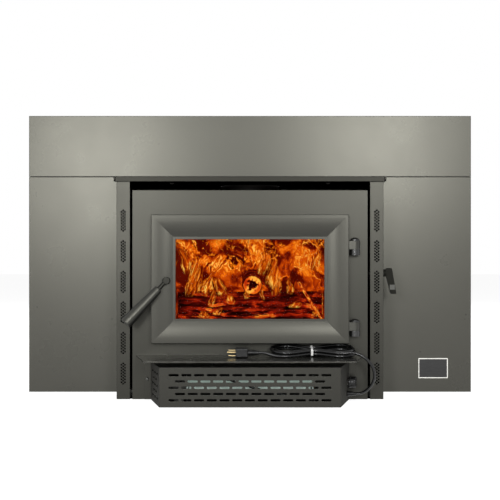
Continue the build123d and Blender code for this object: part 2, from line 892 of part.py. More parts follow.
with BuildPart() as window_pocket:
    with BuildSketch(plan_plane):
        add(plan_section)
    extrude(amount=2 * door_half_height)
    with BuildSketch(side_section_plane):
        add(side_section)
    extrude(amount=2 * door_half_width, mode=Mode.INTERSECT)

screw_reach_x = window_half_width + retainer_screw_reach
screw_reach_z = window_half_height + retainer_screw_reach
retainer_screw_places = [(x * retainer_screw_pitch, side * screw_reach_z) for x in (-1, 0, 1) for side in (-1, 1)]
retainer_screw_places += [
    (side * screw_reach_x, end * retainer_clip_offset) for side in (-1, 1) for end in (-1, 1)
]

with BuildPart() as door_frame:
    with BuildSketch(front_plane(door_rear)):
        with Locations((0, door_z)):
            RectangleRounded(2 * door_half_width, 2 * door_half_height, door_corner)
    extrude(amount=door_depth)
    fillet(door_frame.faces().sort_by(Axis.Y)[0].edges(), door_edge)
    add(window_pocket.part, mode=Mode.SUBTRACT)
    with BuildSketch(front_plane(door_rear)):
        with Locations((0, door_z)):
            Rectangle(2 * (glass_half_width + glass_side_gap), 2 * (glass_half_height + glass_side_gap))
    extrude(amount=door_rear - lip_rear, mode=Mode.SUBTRACT)
    with BuildSketch(front_plane(door_rear)):
        with Locations((0, door_z)):
            Rectangle(
                2 * (window_half_width + glass_ledge_reach), 2 * (window_half_height + glass_ledge_reach)
            )
    extrude(amount=door_rear - glass_rear, mode=Mode.SUBTRACT)
    with BuildSketch(front_plane(door_rear)):
        with Locations((0, door_z)):
            Rectangle(2 * (door_half_width - groove_inset), 2 * (door_half_height - groove_inset))
            Rectangle(
                2 * (door_half_width - groove_inset - groove_width),
                2 * (door_half_height - groove_inset - groove_width),
                mode=Mode.SUBTRACT,
            )
    extrude(amount=groove_depth, mode=Mode.SUBTRACT)
    with BuildSketch(front_plane(door_rear)):
        with Locations((handle_x, handle_z)):
            Circle(handle_shaft_radius + shaft_running_clearance + bushing_wall)
    extrude(amount=door_depth, mode=Mode.SUBTRACT)
    with BuildSketch(front_plane(glass_rear)):
        with Locations((0, door_z)):
            with Locations(*retainer_screw_places):
                Circle(small_screw_hole)
    extrude(amount=small_screw_grip + 1, mode=Mode.SUBTRACT)
door_frame.part.label = "door_frame"
export_step(door_frame.part, "parts/door_frame.step")

with BuildPart() as glass_gasket:
    with BuildSketch(front_plane(glass_front)):
        with Locations((0, door_z)):
            Rectangle(2 * glass_half_width, 2 * glass_half_height)
            Rectangle(
                2 * (glass_half_width - glass_tape_width),
                2 * (glass_half_height - glass_tape_width),
                mode=Mode.SUBTRACT,
            )
    extrude(amount=glass_tape)
glass_gasket.part.label = "glass_gasket"
export_step(glass_gasket.part, "parts/glass_gasket.step")

with BuildPart() as door_glass:
    with BuildSketch(front_plane(glass_rear)):
        with Locations((0, door_z)):
            Rectangle(2 * glass_half_width, 2 * glass_half_height)
    extrude(amount=glass_thickness)
door_glass.part.label = "door_glass"
export_step(door_glass.part, "parts/door_glass.step")

# Flat bars hold the glass from behind: one above, one below and two at each side.
retainer_centre_x = window_half_width + retainer_start + retainer_width / 2
retainer_centre_z = window_half_height + retainer_start + retainer_width / 2
with BuildPart() as glass_retainers:
    with BuildSketch(front_plane(glass_rear)):
        with Locations((0, door_z)):
            with Locations((0, retainer_centre_z), (0, -retainer_centre_z)):
                Rectangle(2 * retainer_bar_half, retainer_width)
            with GridLocations(2 * retainer_centre_x, 2 * retainer_clip_offset, 2, 2):
                Rectangle(retainer_width, retainer_clip)
            with Locations(*retainer_screw_places):
                Circle(small_screw_hole, mode=Mode.SUBTRACT)
    extrude(amount=-retainer_thickness)
glass_retainers.part.label = "glass_retainers"
export_step(glass_retainers.part, "parts/glass_retainers.step")

retainer_rear = glass_rear + retainer_thickness
with BuildPart() as retainer_screws:
    with BuildSketch(front_plane(retainer_rear)):
        with Locations((0, door_z)):
            with Locations(*retainer_screw_places):
                Circle(small_screw_head)
    extrude(amount=-small_screw_head_height)
    with BuildSketch(front_plane(retainer_rear)):
        with Locations((0, door_z)):
            with Locations(*retainer_screw_places):
                Circle(small_screw_radius)
    extrude(amount=retainer_thickness + small_screw_grip)
retainer_screws.part.label = "retainer_screws"
export_step(retainer_screws.part, "parts/retainer_screws.step")

rope_outer_inset = groove_inset + rope_side_gap
rope_inner_inset = groove_inset + groove_width - rope_side_gap
rope_rear = body_front - rope_face_gap
rope_front = door_rear - groove_depth + rope_side_gap
with BuildPart() as door_gasket:
    with BuildSketch(front_plane(rope_rear)):
        with Locations((0, door_z)):
            Rectangle(2 * (door_half_width - rope_outer_inset), 2 * (door_half_height - rope_outer_inset))
            Rectangle(
                2 * (door_half_width - rope_inner_inset),
                2 * (door_half_height - rope_inner_inset),
                mode=Mode.SUBTRACT,
            )
    extrude(amount=rope_rear - rope_front)
door_gasket.part.label = "door_gasket"
export_step(door_gasket.part, "parts/door_gasket.step")

# ------------------------------------------------------------------ hinges
hinge_block_front = hinge_y - hinge_barrel_radius
hinge_block_rear = hinge_y + hinge_barrel_radius
with BuildPart() as door_hinge_blocks:
    for centre in hinge_block_centres:
        with BuildSketch(Plane.XY.offset(centre - hinge_block / 2)):
            rectangle_between(door_half_width, hinge_x, hinge_block_front, hinge_block_rear)
            with Locations((hinge_x, hinge_y)):
                Circle(hinge_barrel_radius)
                Circle(hinge_pin_radius + hinge_bore_clearance, mode=Mode.SUBTRACT)
        extrude(amount=hinge_block)
door_hinge_blocks.part.label = "door_hinge_blocks"
export_step(door_hinge_blocks.part, "parts/door_hinge_blocks.step")

with BuildPart() as hinge_knuckles:
    for centre in hinge_block_centres:
        knuckle_top = centre - hinge_block / 2 - hinge_running_gap
        with BuildSketch(Plane.XY.offset(knuckle_top - knuckle_height)):
            with Locations((hinge_x, hinge_y)):
                Circle(knuckle_radius)
            rectangle_between(
                hinge_x - knuckle_web / 2, hinge_x + knuckle_web / 2, hinge_y, body_front
            )
            with Locations((hinge_x, hinge_y)):
                Circle(hinge_pin_radius, mode=Mode.SUBTRACT)
        extrude(amount=knuckle_height)
hinge_knuckles.part.label = "hinge_knuckles"
export_step(hinge_knuckles.part, "parts/hinge_knuckles.step")

# Each pin stands in its knuckle and carries a domed head over the door's block.
with BuildPart() as hinge_pins:
    for centre in hinge_block_centres:
        knuckle_bottom = centre - hinge_block / 2 - hinge_running_gap - knuckle_height
        head_bottom = centre + hinge_block / 2 + hinge_running_gap
        dome_start = head_bottom + hinge_head_height / 3
        head_top = head_bottom + hinge_head_height
        with BuildSketch(Plane.XZ.offset(-hinge_y)):
            with BuildLine():
                shoulder = Polyline(
                    (hinge_x, knuckle_bottom),
                    (hinge_x + hinge_pin_radius, knuckle_bottom),
                    (hinge_x + hinge_pin_radius, head_bottom),
                    (hinge_x + hinge_head_radius, head_bottom),
                    (hinge_x + hinge_head_radius, dome_start),
                )
                dome = TangentArc((hinge_x, head_top), shoulder @ 1, tangent=(1, 0))
                Line((hinge_x, head_top), (hinge_x, knuckle_bottom))
            make_face()
        revolve(axis=Axis((hinge_x, hinge_y, 0), (0, 0, 1)))
hinge_pins.part.label = "hinge_pins"
export_step(hinge_pins.part, "parts/hinge_pins.step")

# ------------------------------------------------------------------ handle
bushing_front = door_front - bushing_proud
boss_rear = bushing_front - handle_boss_gap
boss_front = boss_rear - handle_boss_height
neck_y = (boss_rear + boss_front) / 2
grip_angle = radians(180 + handle_angle)
tilt = radians(handle_tilt)
grip_direction = Vector(cos(grip_angle) * cos(tilt), -sin(tilt), sin(grip_angle) * cos(tilt))
pivot = Vector(handle_x, neck_y, handle_z)
cam_rear = cam_front + cam_thickness
shaft_rear = cam_rear + cam_nut_height + cam_thread_end

with BuildPart() as handle_bushing:
    with BuildSketch(front_plane(glass_rear)):
        with Locations((handle_x, handle_z)):
            Circle(handle_shaft_radius + shaft_running_clearance + bushing_wall)
            Circle(handle_shaft_radius + shaft_running_clearance, mode=Mode.SUBTRACT)
    extrude(amount=glass_rear - bushing_front)
handle_bushing.part.label = "handle_bushing"
export_step(handle_bushing.part, "parts/handle_bushing.step")

with BuildPart() as handle_shaft:
    with BuildSketch(front_plane(boss_rear)):
        with Locations((handle_x, handle_z)):
            Circle(handle_boss_radius)
    extrude(amount=handle_boss_height)
    fillet(handle_shaft.faces().sort_by(Axis.Y)[0].edges(), handle_boss_radius / 4)
    with BuildSketch(front_plane(boss_rear)):
        with Locations((handle_x, handle_z)):
            Circle(handle_shaft_radius)
    extrude(amount=-(cam_rear - boss_rear))
    with BuildSketch(front_plane(cam_rear)):
        with Locations((handle_x, handle_z)):
            Circle(cam_thread_radius)
    extrude(amount=-(shaft_rear - cam_rear))
    with BuildSketch(Plane(origin=pivot, z_dir=grip_direction)):
        Circle(handle_neck_radius)
    extrude(amount=handle_neck_length + handle_neck_in_grip)
handle_shaft.part.label = "handle_shaft"
export_step(handle_shaft.part, "parts/handle_shaft.step")

grip_start = pivot + grip_direction * handle_neck_length
grip_end = grip_start + grip_direction * grip_length
with BuildPart() as handle_grip:
    with BuildSketch(Plane(origin=grip_start, z_dir=grip_direction)):
        Circle(grip_start_radius)
    with BuildSketch(Plane(origin=grip_end, z_dir=grip_direction)):
        Circle(grip_end_radius)
    loft()
    grip_axis = Axis(grip_start, grip_direction)
    fillet(handle_grip.edges().sort_by(grip_axis)[-1], grip_end_rounding)
    fillet(handle_grip.edges().sort_by(grip_axis)[0], grip_start_rounding)
    with BuildSketch(Plane(origin=grip_start, z_dir=grip_direction)):
        Circle(handle_neck_radius)
    extrude(amount=handle_neck_in_grip, mode=Mode.SUBTRACT)
handle_grip.part.label = "handle_grip"
export_step(handle_grip.part, "parts/handle_grip.step")

with BuildPart() as latch_cam:
    with BuildSketch(front_plane(cam_rear)):
        with Locations((handle_x, handle_z)):
            Circle(cam_hub_radius)
        with Locations((handle_x, handle_z + cam_reach)):
            Circle(cam_tip_radius)
        make_hull()
        with Locations((handle_x, handle_z)):
            Circle(handle_shaft_radius, mode=Mode.SUBTRACT)
    extrude(amount=cam_thickness)
latch_cam.part.label = "latch_cam"
export_step(latch_cam.part, "parts/latch_cam.step")

with BuildPart() as cam_nut:
    with BuildSketch(front_plane(cam_rear + cam_nut_height)):
        with Locations((handle_x, handle_z)):
            RegularPolygon(cam_nut_across / 2, 6, major_radius=False)
            Circle(cam_thread_radius, mode=Mode.SUBTRACT)
    extrude(amount=cam_nut_height)
cam_nut.part.label = "cam_nut"
export_step(cam_nut.part, "parts/cam_nut.step")

keeper_right = -fuel_half_width - keeper_edge_gap
with BuildPart() as latch_keeper:
    with BuildSketch(front_plane(cam_front - keeper_gap)):
        rectangle_between(
            keeper_right - keeper_length, keeper_right, keeper_bottom, keeper_bottom + keeper_height
        )
    extrude(amount=cam_front - keeper_gap - face_rear)
latch_keeper.part.label = "latch_keeper"
export_step(latch_keeper.part, "parts/latch_keeper.step")

# ================================================================== combustion air lever
with BuildPart() as lever_bushing:
    with BuildSketch(Plane.YZ.offset(jacket_half - jacket_sheet)):
        with Locations((lever_y, lever_z)):
            Circle(lever_bushing_radius)
            Circle(lever_shaft_radius + shaft_running_clearance, mode=Mode.SUBTRACT)
    extrude(amount=column_sheet + jacket_sheet)
    with BuildSketch(Plane.YZ.offset(body_half_width)):
        with Locations((lever_y, lever_z)):
            Circle(lever_bushing_flange)
            Circle(lever_shaft_radius + shaft_running_clearance, mode=Mode.SUBTRACT)
    extrude(amount=lever_bushing_flange_thickness)
lever_bushing.part.label = "lever_bushing"
export_step(lever_bushing.part, "parts/lever_bushing.step")

# The shaft turns in the bushing: a hub and a leaning bar outside, a crank with its pin inside.
hub_start = body_half_width + lever_bushing_flange_thickness + lever_end_gap
with BuildPart() as air_lever:
    with BuildSketch(Plane.YZ.offset(lever_shaft_inner)):
        with Locations((lever_y, lever_z)):
            Circle(lever_shaft_radius)
    extrude(amount=hub_start - lever_shaft_inner)
    with BuildSketch(Plane.YZ.offset(hub_start)):
        with Locations((lever_y, lever_z)):
            Circle(lever_hub_radius)
    extrude(amount=lever_hub_end - hub_start)
    with BuildSketch(front_plane(lever_y + lever_bar_thickness / 2)):
        with BuildLine():
            Polyline(
                (lever_hub_end, lever_z - lever_hub_radius),
                (lever_hub_end, lever_z + lever_bar_above),
                (lever_hub_end + lever_bar_width, lever_z + lever_bar_above),
                (lever_hub_end + lever_bar_width + lever_bar_lean, lever_z - lever_bar_below),
                (lever_hub_end + lever_bar_lean, lever_z - lever_bar_below),
                close=True,
            )
        make_face()
    extrude(amount=lever_bar_thickness)
    bar_ends = air_lever.edges().filter_by(Axis.Y).group_by(Axis.Z)
    fillet(bar_ends[0] + bar_ends[-1], lever_bar_rounding)
    with BuildSketch(Plane.YZ.offset(lever_shaft_inner)):
        with Locations((lever_y, lever_z)):
            Circle(crank_end_radius)
        with Locations((lever_y, lever_z - crank_radius)):
            Circle(crank_end_radius)
        make_hull()
    extrude(amount=crank_thickness)
    with BuildSketch(Plane.YZ.offset(lever_shaft_inner)):
        with Locations((lever_y, lever_z - crank_radius)):
            Circle(crank_pin_radius)
    extrude(amount=crank_pin_end - lever_shaft_inner)
air_lever.part.label = "air_lever"
export_step(air_lever.part, "parts/air_lever.step")

shutter_inner = firebox_half + shutter_gap
with BuildPart() as air_shutter:
    with BuildSketch(Plane.YZ.offset(shutter_inner)):
        rectangle_between(shutter_front, shutter_front + shutter_length, shutter_bottom, shutter_top)
        with Locations((lever_y, lever_z - crank_radius + shutter_slot_rise)):
            Rectangle(shutter_slot_width, shutter_slot_height, mode=Mode.SUBTRACT)
        with Locations(*[(air_hole_y + shutter_travel, height) for height in air_hole_heights]):
            Circle(air_hole_radius, mode=Mode.SUBTRACT)
    extrude(amount=shutter_sheet)
air_shutter.part.label = "air_shutter"
export_step(air_shutter.part, "parts/air_shutter.step")

guide_outer = firebox_half + guide_depth
lip_inner = shutter_inner + shutter_sheet + shutter_gap
with BuildPart() as shutter_guides:
    for edge, outwards in ((shutter_bottom, -1), (shutter_top, 1)):
        bar_edge = edge + outwards * shutter_gap
        with BuildSketch(front_plane(guide_rear)):
            with BuildLine():
                Polyline(
                    (firebox_half, bar_edge),
                    (lip_inner, bar_edge),
                    (lip_inner, bar_edge - outwards * guide_lip),
                    (guide_outer, bar_edge - outwards * guide_lip),
                    (guide_outer, bar_edge + outwards * guide_bar),
                    (firebox_half, bar_edge + outwards * guide_bar),
                    close=True,
                )
            make_face()
        extrude(amount=guide_rear - guide_front)
shutter_guides.part.label = "shutter_guides"
export_step(shutter_guides.part, "parts/shutter_guides.step")

# ================================================================== ash lip
with BuildPart() as ash_lip:
    with BuildSketch(Plane.XY.offset(ash_lip_bottom)):
        with BuildLine():
            Polyline(
                (-ash_lip_front_half, body_front - ash_lip_depth),
                (ash_lip_front_half, body_front - ash_lip_depth),
                (ash_lip_rear_half, body_front),
                (-ash_lip_rear_half, body_front),
                close=True,
            )
        make_face()
        fillet(vertices().sort_by(Axis.Y)[:2], ash_lip_corner)
    extrude(amount=ash_lip_sheet)
    with BuildSketch(front_plane(body_front)):
        rectangle_between(
            -ash_lip_flange_half, ash_lip_flange_half, ash_lip_top - ash_lip_flange, ash_lip_bottom
        )
        with Locations(*[(side * x, ash_lip_screw_z) for side in (-1, 1) for x in ash_lip_screw_x]):
            Circle(screw_hole, mode=Mode.SUBTRACT)
    extrude(amount=ash_lip_sheet)
ash_lip.part.label = "ash_lip"
export_step(ash_lip.part, "parts/ash_lip.step")

# ================================================================== blower box
box_splay = atan2(box_rear_half - box_front_half, box_depth)
box_wall = box_sheet / cos(box_splay)


def box_half_width(y):
    """Half width of the box at depth y."""
    return box_rear_half - (box_rear_half - box_front_half) * (body_front - y) / box_depth


def box_side_plane(side, along, height):
    """Plane on the outside of a side panel: along runs from 0 at the back to 1 at the front."""
    y = body_front - box_depth * along
    normal = Vector(side * cos(box_splay), -sin(box_splay), 0)
    return Plane(origin=(side * box_half_width(y), y, height), x_dir=(-normal.Y, normal.X, 0), z_dir=normal)


knob_plane = box_side_plane(1, knob_along, knob_z)
relief_plane = box_side_plane(1, relief_along, relief_z)
slot_rows = [(row, slot_row_centre + row * slot_row_pitch) for row in (-2, -1, 0, 1, 2)]

with BuildPart() as blower_box:
    with BuildSketch(Plane.XY):
        with BuildLine():
            Polyline(
                (-box_front_half, box_front),
                (box_front_half, box_front),
                (box_rear_half, body_front),
                (-box_rear_half, body_front),
                close=True,
            )
        make_face()
    extrude(amount=box_height)
    inner_front = box_front + box_sheet
    inner_rear = body_front + open_end
    with BuildSketch(Plane.XY.offset(box_sheet)):
        with BuildLine():
            Polyline(
                (-box_half_width(inner_front) + box_wall, inner_front),
                (box_half_width(inner_front) - box_wall, inner_front),
                (box_half_width(inner_rear) - box_wall, inner_rear),
                (-box_half_width(inner_rear) + box_wall, inner_rear),
                close=True,
            )
        make_face()
    extrude(amount=box_height - 2 * box_sheet, mode=Mode.SUBTRACT)
    for side in (-1, 1):
        with BuildSketch(front_plane(body_front)):
            rectangle_between(
                side * (box_rear_half - box_wall), side * (box_rear_half + box_flange), 0, box_height
            )
            with Locations((side * face_screw_x, face_screw_z)):
                Circle(screw_hole, mode=Mode.SUBTRACT)
        extrude(amount=box_sheet)
    with BuildSketch(front_plane(box_front)):
        for row, height in slot_rows:
            with Locations((0, height)):
                with GridLocations(slot_pitch, 0, slot_long_row - abs(row) % 2, 1):
                    SlotOverall(slot_length, slot_width)
    extrude(amount=-box_sheet, mode=Mode.SUBTRACT)
    for row, height in slot_rows:
        with BuildSketch(box_side_plane(-1, 0.5, height)):
            with GridLocations(side_slot_pitch, 0, side_slot_long_row - abs(row) % 2, 1):
                SlotOverall(slot_length, slot_width)
        extrude(amount=-box_sheet, mode=Mode.SUBTRACT)
    with BuildSketch(knob_plane):
        Circle(control_thread_radius)
    extrude(amount=-box_sheet, mode=Mode.SUBTRACT)
    with BuildSketch(relief_plane):
        Circle(relief_neck_radius)
    extrude(amount=-box_sheet, mode=Mode.SUBTRACT)
blower_box.part.label = "blower_box"
export_step(blower_box.part, "parts/blower_box.step")

# Pan-head screws: two through the flanges of the box, four through the flange of the ash lip.
box_screw_places = [(side * face_screw_x, face_screw_z) for side in (-1, 1)]
lip_screw_places = [(side * x, ash_lip_screw_z) for side in (-1, 1) for x in ash_lip_screw_x]
with BuildPart() as face_screws:
    for places, flange_sheet in ((box_screw_places, box_sheet), (lip_screw_places, ash_lip_sheet)):
        with BuildSketch(front_plane(body_front - flange_sheet)):
            with Locations(*places):
                Circle(screw_head_radius)
        extrude(amount=screw_head_height)
        with BuildSketch(front_plane(body_front - flange_sheet)):
            with Locations(*places):
                Circle(screw_radius)
        extrude(amount=-(flange_sheet + face_sheet + screw_end))
    head_edges = face_screws.edges().filter_by(GeomType.CIRCLE).filter_by(lambda edge: edge.radius > screw_radius)
    fillet(head_edges.filter_by(lambda edge: edge.center().Y < body_front - box_sheet - open_end), 1.0)
face_screws.part.label = "face_screws"
export_step(face_screws.part, "parts/face_screws.step")

# ------------------------------------------------------------------ cross-flow blower
fan_centre = (fan_y, fan_z)
with BuildPart() as blower_housing:
    with BuildSketch(Plane.YZ.offset(-housing_half)):
        with Locations(fan_centre):
            Circle(housing_radius + housing_sheet)
            Circle(housing_radius, mode=Mode.SUBTRACT)
        rectangle_between(fan_y, 0, 0, box_height, mode=Mode.SUBTRACT)
        rectangle_between(
            box_front, fan_y, fan_z - housing_inlet_half, fan_z + housing_inlet_half, mode=Mode.SUBTRACT
        )
        for upwards in (-1, 1):
            with Locations(((fan_y + housing_rear) / 2, fan_z + upwards * (housing_radius + housing_sheet / 2))):
                Rectangle(housing_rear - fan_y, housing_sheet)
    extrude(amount=2 * housing_half)
    for side, hole in ((-1, fan_shaft_radius + housing_sheet), (1, bearing_radius)):
        with BuildSketch(Plane.YZ.offset(side * housing_half)):
            rectangle_between(housing_front, housing_rear, box_sheet, housing_top)
            with Locations(fan_centre):
                Circle(hole, mode=Mode.SUBTRACT)
        extrude(amount=side * housing_sheet)
blower_housing.part.label = "blower_housing"
export_step(blower_housing.part, "parts/blower_housing.step")

with BuildPart() as fan_bearing:
    with BuildSketch(Plane.YZ.offset(housing_half)):
        with Locations(fan_centre):
            Circle(bearing_radius)
            Circle(fan_shaft_radius + fan_shaft_clearance, mode=Mode.SUBTRACT)
    extrude(amount=bearing_length)
fan_bearing.part.label = "fan_bearing"
export_step(fan_bearing.part, "parts/fan_bearing.step")

with BuildPart() as fan_rotor:
    with BuildSketch(Plane.YZ.offset(-fan_half_length)):
        with Locations(fan_centre):
            with PolarLocations(fan_radius - fan_blade_depth / 2 - fan_disc_thickness / 2, fan_blade_count):
                Rectangle(fan_blade_depth, fan_blade_thickness, rotation=fan_blade_tilt)
    extrude(amount=2 * fan_half_length)
    disc_step = (2 * fan_half_length - fan_disc_thickness) / (fan_disc_count - 1)
    for index in range(fan_disc_count):
        with BuildSketch(Plane.YZ.offset(-fan_half_length + index * disc_step)):
            with Locations(fan_centre):
                Circle(fan_radius)
        extrude(amount=fan_disc_thickness)
    with BuildSketch(Plane.YZ.offset(fan_shaft_left)):
        with Locations(fan_centre):
            Circle(fan_shaft_radius)
    extrude(amount=housing_half + bearing_length - fan_shaft_left)
fan_rotor.part.label = "fan_rotor"
export_step(fan_rotor.part, "parts/fan_rotor.step")

motor_right = -housing_half - housing_sheet
with BuildPart() as blower_motor:
    with BuildSketch(Plane.YZ.offset(motor_right)):
        with Locations(fan_centre):
            Circle(motor_radius)
    extrude(amount=-motor_length)
    chamfer(blower_motor.faces().sort_by(Axis.X)[0].edges(), 3)
    with BuildSketch(Plane.XY.offset(box_sheet)):
        with Locations((motor_right - motor_length / 2, fan_y)):
            Rectangle(motor_foot_length, 2 * motor_foot_half)
    extrude(amount=fan_z - box_sheet)
    with BuildSketch(Plane.YZ.offset(motor_right)):
        with Locations(fan_centre):
            Circle(fan_shaft_radius + fan_shaft_clearance)
    extrude(amount=-motor_length, mode=Mode.SUBTRACT)
blower_motor.part.label = "blower_motor"
export_step(blower_motor.part, "parts/blower_motor.step")

# ------------------------------------------------------------------ speed control
with BuildPart() as speed_control:
    with BuildSketch(knob_plane.offset(-box_sheet)):
        Rectangle(control_size, control_size)
    extrude(amount=-control_depth)
    with BuildSketch(knob_plane.offset(-box_sheet)):
        Circle(control_thread_radius)
    extrude(amount=box_sheet + control_thread_length)
    with BuildSketch(knob_plane.offset(control_thread_length)):
        Circle(control_spindle_radius + shaft_running_clearance)
    extrude(amount=-(control_thread_length + box_sheet + control_spindle_sunk), mode=Mode.SUBTRACT)
speed_control.part.label = "speed_control"
export_step(speed_control.part, "parts/speed_control.step")

with BuildPart() as knob_nut:
    with BuildSketch(knob_plane):
        RegularPolygon(knob_nut_across / 2, 6, major_radius=False)
        Circle(control_thread_radius, mode=Mode.SUBTRACT)
    extrude(amount=knob_nut_thickness)
knob_nut.part.label = "knob_nut"
export_step(knob_nut.part, "parts/knob_nut.step")

with BuildPart() as speed_knob:
    with BuildSketch(knob_plane.offset(knob_gap)):
        Circle(knob_radius)
    extrude(amount=knob_length)
    knob_axis = Axis(knob_plane.origin, knob_plane.z_dir)
    fillet(speed_knob.edges().sort_by(knob_axis)[-1], knob_edge)
    with BuildSketch(knob_plane.offset(knob_gap)):
        Circle(knob_recess_radius)
    extrude(amount=knob_recess_depth, mode=Mode.SUBTRACT)
    with BuildSketch(knob_plane.offset(knob_gap + knob_length)):
        with Locations((0, knob_radius - knob_edge - knob_mark_length / 2)):
            Rectangle(knob_mark_width, knob_mark_length)
    extrude(amount=-knob_mark_depth, mode=Mode.SUBTRACT)
    with BuildSketch(knob_plane.offset(knob_gap + knob_recess_depth)):
        Circle(control_spindle_radius)
    extrude(amount=-(knob_gap + knob_recess_depth + box_sheet + control_spindle_sunk - shutter_gap))
speed_knob.part.label = "speed_knob"
export_step(speed_knob.part, "parts/speed_knob.step")

# ================================================================== mains lead
with BuildPart() as strain_relief:
    with BuildSketch(relief_plane.offset(relief_collar_thickness)):
        Circle(relief_base_radius)
    with BuildSketch(relief_plane.offset(relief_length)):
        Circle(relief_tip_radius)
    loft()
    with BuildSketch(relief_plane):
        Circle(relief_collar_radius)
    extrude(amount=relief_collar_thickness)
    with BuildSketch(relief_plane):
        Circle(relief_neck_radius)
    extrude(amount=-box_sheet)
    with BuildSketch(relief_plane.offset(-box_sheet)):
        Circle(relief_collar_radius)
    extrude(amount=-relief_collar_thickness)
strain_relief.part.label = "strain_relief"
export_step(strain_relief.part, "parts/strain_relief.step")

cord_radius = cord_diameter / 2
hank_waist = (hank_left + hank_right) / 2
lean = radians(hank_lean)
hank_z = ash_lip_top + hank_lift + cord_radius + hank_half_width * sin(lean)


def on_hank(x, offset, layer):
    """Point of the hank, which lies on the ash lip in front and leans on the face plate behind."""
    return Vector(
        x,
        hank_y + offset * cos(lean) - layer * sin(lean),
        hank_z + offset * sin(lean) + layer * cos(lean),
    )


hank_start = on_hank(hank_right + cord_diameter, -hank_half_width, hank_layer)
hank_end = on_hank(hank_left - cord_diameter, -hank_half_width, 0)
plug_z = ash_lip_top + plug_seat_gap + plug_height / 2
relief_tip = relief_plane.origin + relief_plane.z_dir * relief_length
plug_relief_tip = Vector(plug_rear + plug_relief_length, plug_y, plug_z)


def route_radii(points):
    """Radius at each corner of a route: 0.45 of the shorter run over the tangent of half the turn."""
    radii = []
    for before, corner, after in zip(points, points[1:], points[2:]):
        turn = (corner - before).get_angle(after - corner)
        shorter = min((corner - before).length, (after - corner).length)
        radii.append(0.45 * shorter / tan(radians(turn / 2)))
    return radii


def report_tube(name, tube, length):
    """Print the length of a tube, and its volume against its section times that length."""
    print(name, "length", round(length, 1), "volume ratio", round(tube.volume / (pi * cord_radius**2 * length), 4))


def free_stretch(points, name):
    """Tube along straight runs joined by tangent arcs."""
    radii = route_radii(points)
    with BuildPart() as tube:
        with BuildLine() as route:
            FilletPolyline(*points, radius=radii)
        path = route.wire()
        with BuildSketch(Plane(origin=path @ 0, z_dir=path % 0)):
            Circle(cord_radius)
        sweep(path=path)
    print(name, "radii", [round(radius, 1) for radius in radii])
    report_tube(name, tube.part, path.length)
    return tube


# From the strain relief the lead swings out to the right and comes back over the ash lip.
lead_points = [
    relief_tip,
    relief_tip + relief_plane.z_dir * 13.0,
    Vector(274.6, -207.6, 21.9),
    Vector(286.2, -211.6, 28.9),
    Vector(294.8, -217.8, 39.6),
    Vector(299.4, -226.0, 53.2),
    Vector(298.9, -231.0, 69.6),
    Vector(293.8, -235.0, 86.2),
    Vector(283.4, -237.5, 101.3),
    Vector(269.6, -238.2, 112.9),
    Vector(254.0, -237.7, 119.2),
    Vector(238.5, -236.6, 120.2),
    hank_start + Vector(12.5, 0, 0),
    hank_start,
]
cord_lead = free_stretch(lead_points, "cord_lead")
cord_lead.part.label = "cord_lead"
export_step(cord_lead.part, "parts/cord_lead.step")

tail_points = [
    hank_end,
    hank_end + Vector(-10.0, 0, 0),
    Vector(58.5, -234.2, 111.4),
    Vector(45.5, -232.5, 115.6),
    plug_relief_tip + Vector(12.0, 0, 0),
    plug_relief_tip,
]
cord_tail = free_stretch(tail_points, "cord_tail")
cord_tail.part.label = "cord_tail"
export_step(cord_tail.part, "parts/cord_tail.step")

# The hank: three loops in two layers, drawn in at the waist. Each row gives a run towards the left or
# right, its offset from the middle line in front (-) or behind (+), and the layer where it ends.
outer = hank_half_width
inner = hank_half_width - hank_pitch
outer_waist = hank_waist_half + hank_pitch
inner_waist = hank_waist_half
hank_runs = [
    (hank_left, -outer, -outer_waist, hank_layer),
    (hank_right, outer, outer_waist, hank_layer),
    (hank_left, -inner, -inner_waist, hank_layer),
    (hank_right, inner, inner_waist, 0),
    (hank_left, -inner, -inner_waist, 0),
    (hank_right, outer, outer_waist, 0),
    (hank_left, -outer, -outer_waist, 0),
]


def drawn_bend(start, end, heading):
    """Two equal arcs that leave the start and reach the end along the same heading."""
    middle = (start + end) / 2
    first = TangentArc(start, middle, tangent=heading)
    TangentArc(middle, end, tangent=first % 1)


with BuildPart() as cord_hank:
    with BuildLine() as hank_route:
        level = hank_layer
        Line(hank_start, hank_start - Vector(cord_diameter, 0, 0))
        for number, (run_end, offset, waist_offset, end_level) in enumerate(hank_runs):
            run_start = hank_left + hank_right - run_end
            heading = Vector(1 if run_end > run_start else -1, 0, 0)
            begin = on_hank(run_start, offset, level)
            waist = on_hank(hank_waist, waist_offset, (level + end_level) / 2)
            finish = on_hank(run_end, offset, end_level)
            drawn_bend(begin, waist, heading)
            drawn_bend(waist, finish, heading)
            if number + 1 < len(hank_runs):
                next_offset = hank_runs[number + 1][1]
                fold_radius = abs(next_offset - offset) / 2
                fold_top = on_hank(run_end, (next_offset + offset) / 2, end_level) + heading * fold_radius
                ThreePointArc(finish, fold_top, on_hank(run_end, next_offset, end_level))
            level = end_level
        Line(hank_end + Vector(cord_diameter, 0, 0), hank_end)
    hank_path = hank_route.wire()
    with BuildSketch(Plane(origin=hank_path @ 0, z_dir=hank_path % 0)):
        Circle(cord_radius)
    sweep(path=hank_path)

report_tube("cord_hank", cord_hank.part, hank_path.length)
sample_count = int(hank_path.length)
samples = [hank_path @ (index / sample_count) for index in range(sample_count + 1)]
least_gap = min(
    (samples[first] - samples[second]).length - cord_diameter
    for first in range(sample_count)
    for second in range(first + int(3 * cord_diameter), sample_count + 1)
)
print("cord_hank least gap to itself", round(least_gap, 2))
cord_hank.part.label = "cord_hank"
export_step(cord_hank.part, "parts/cord_hank.step")

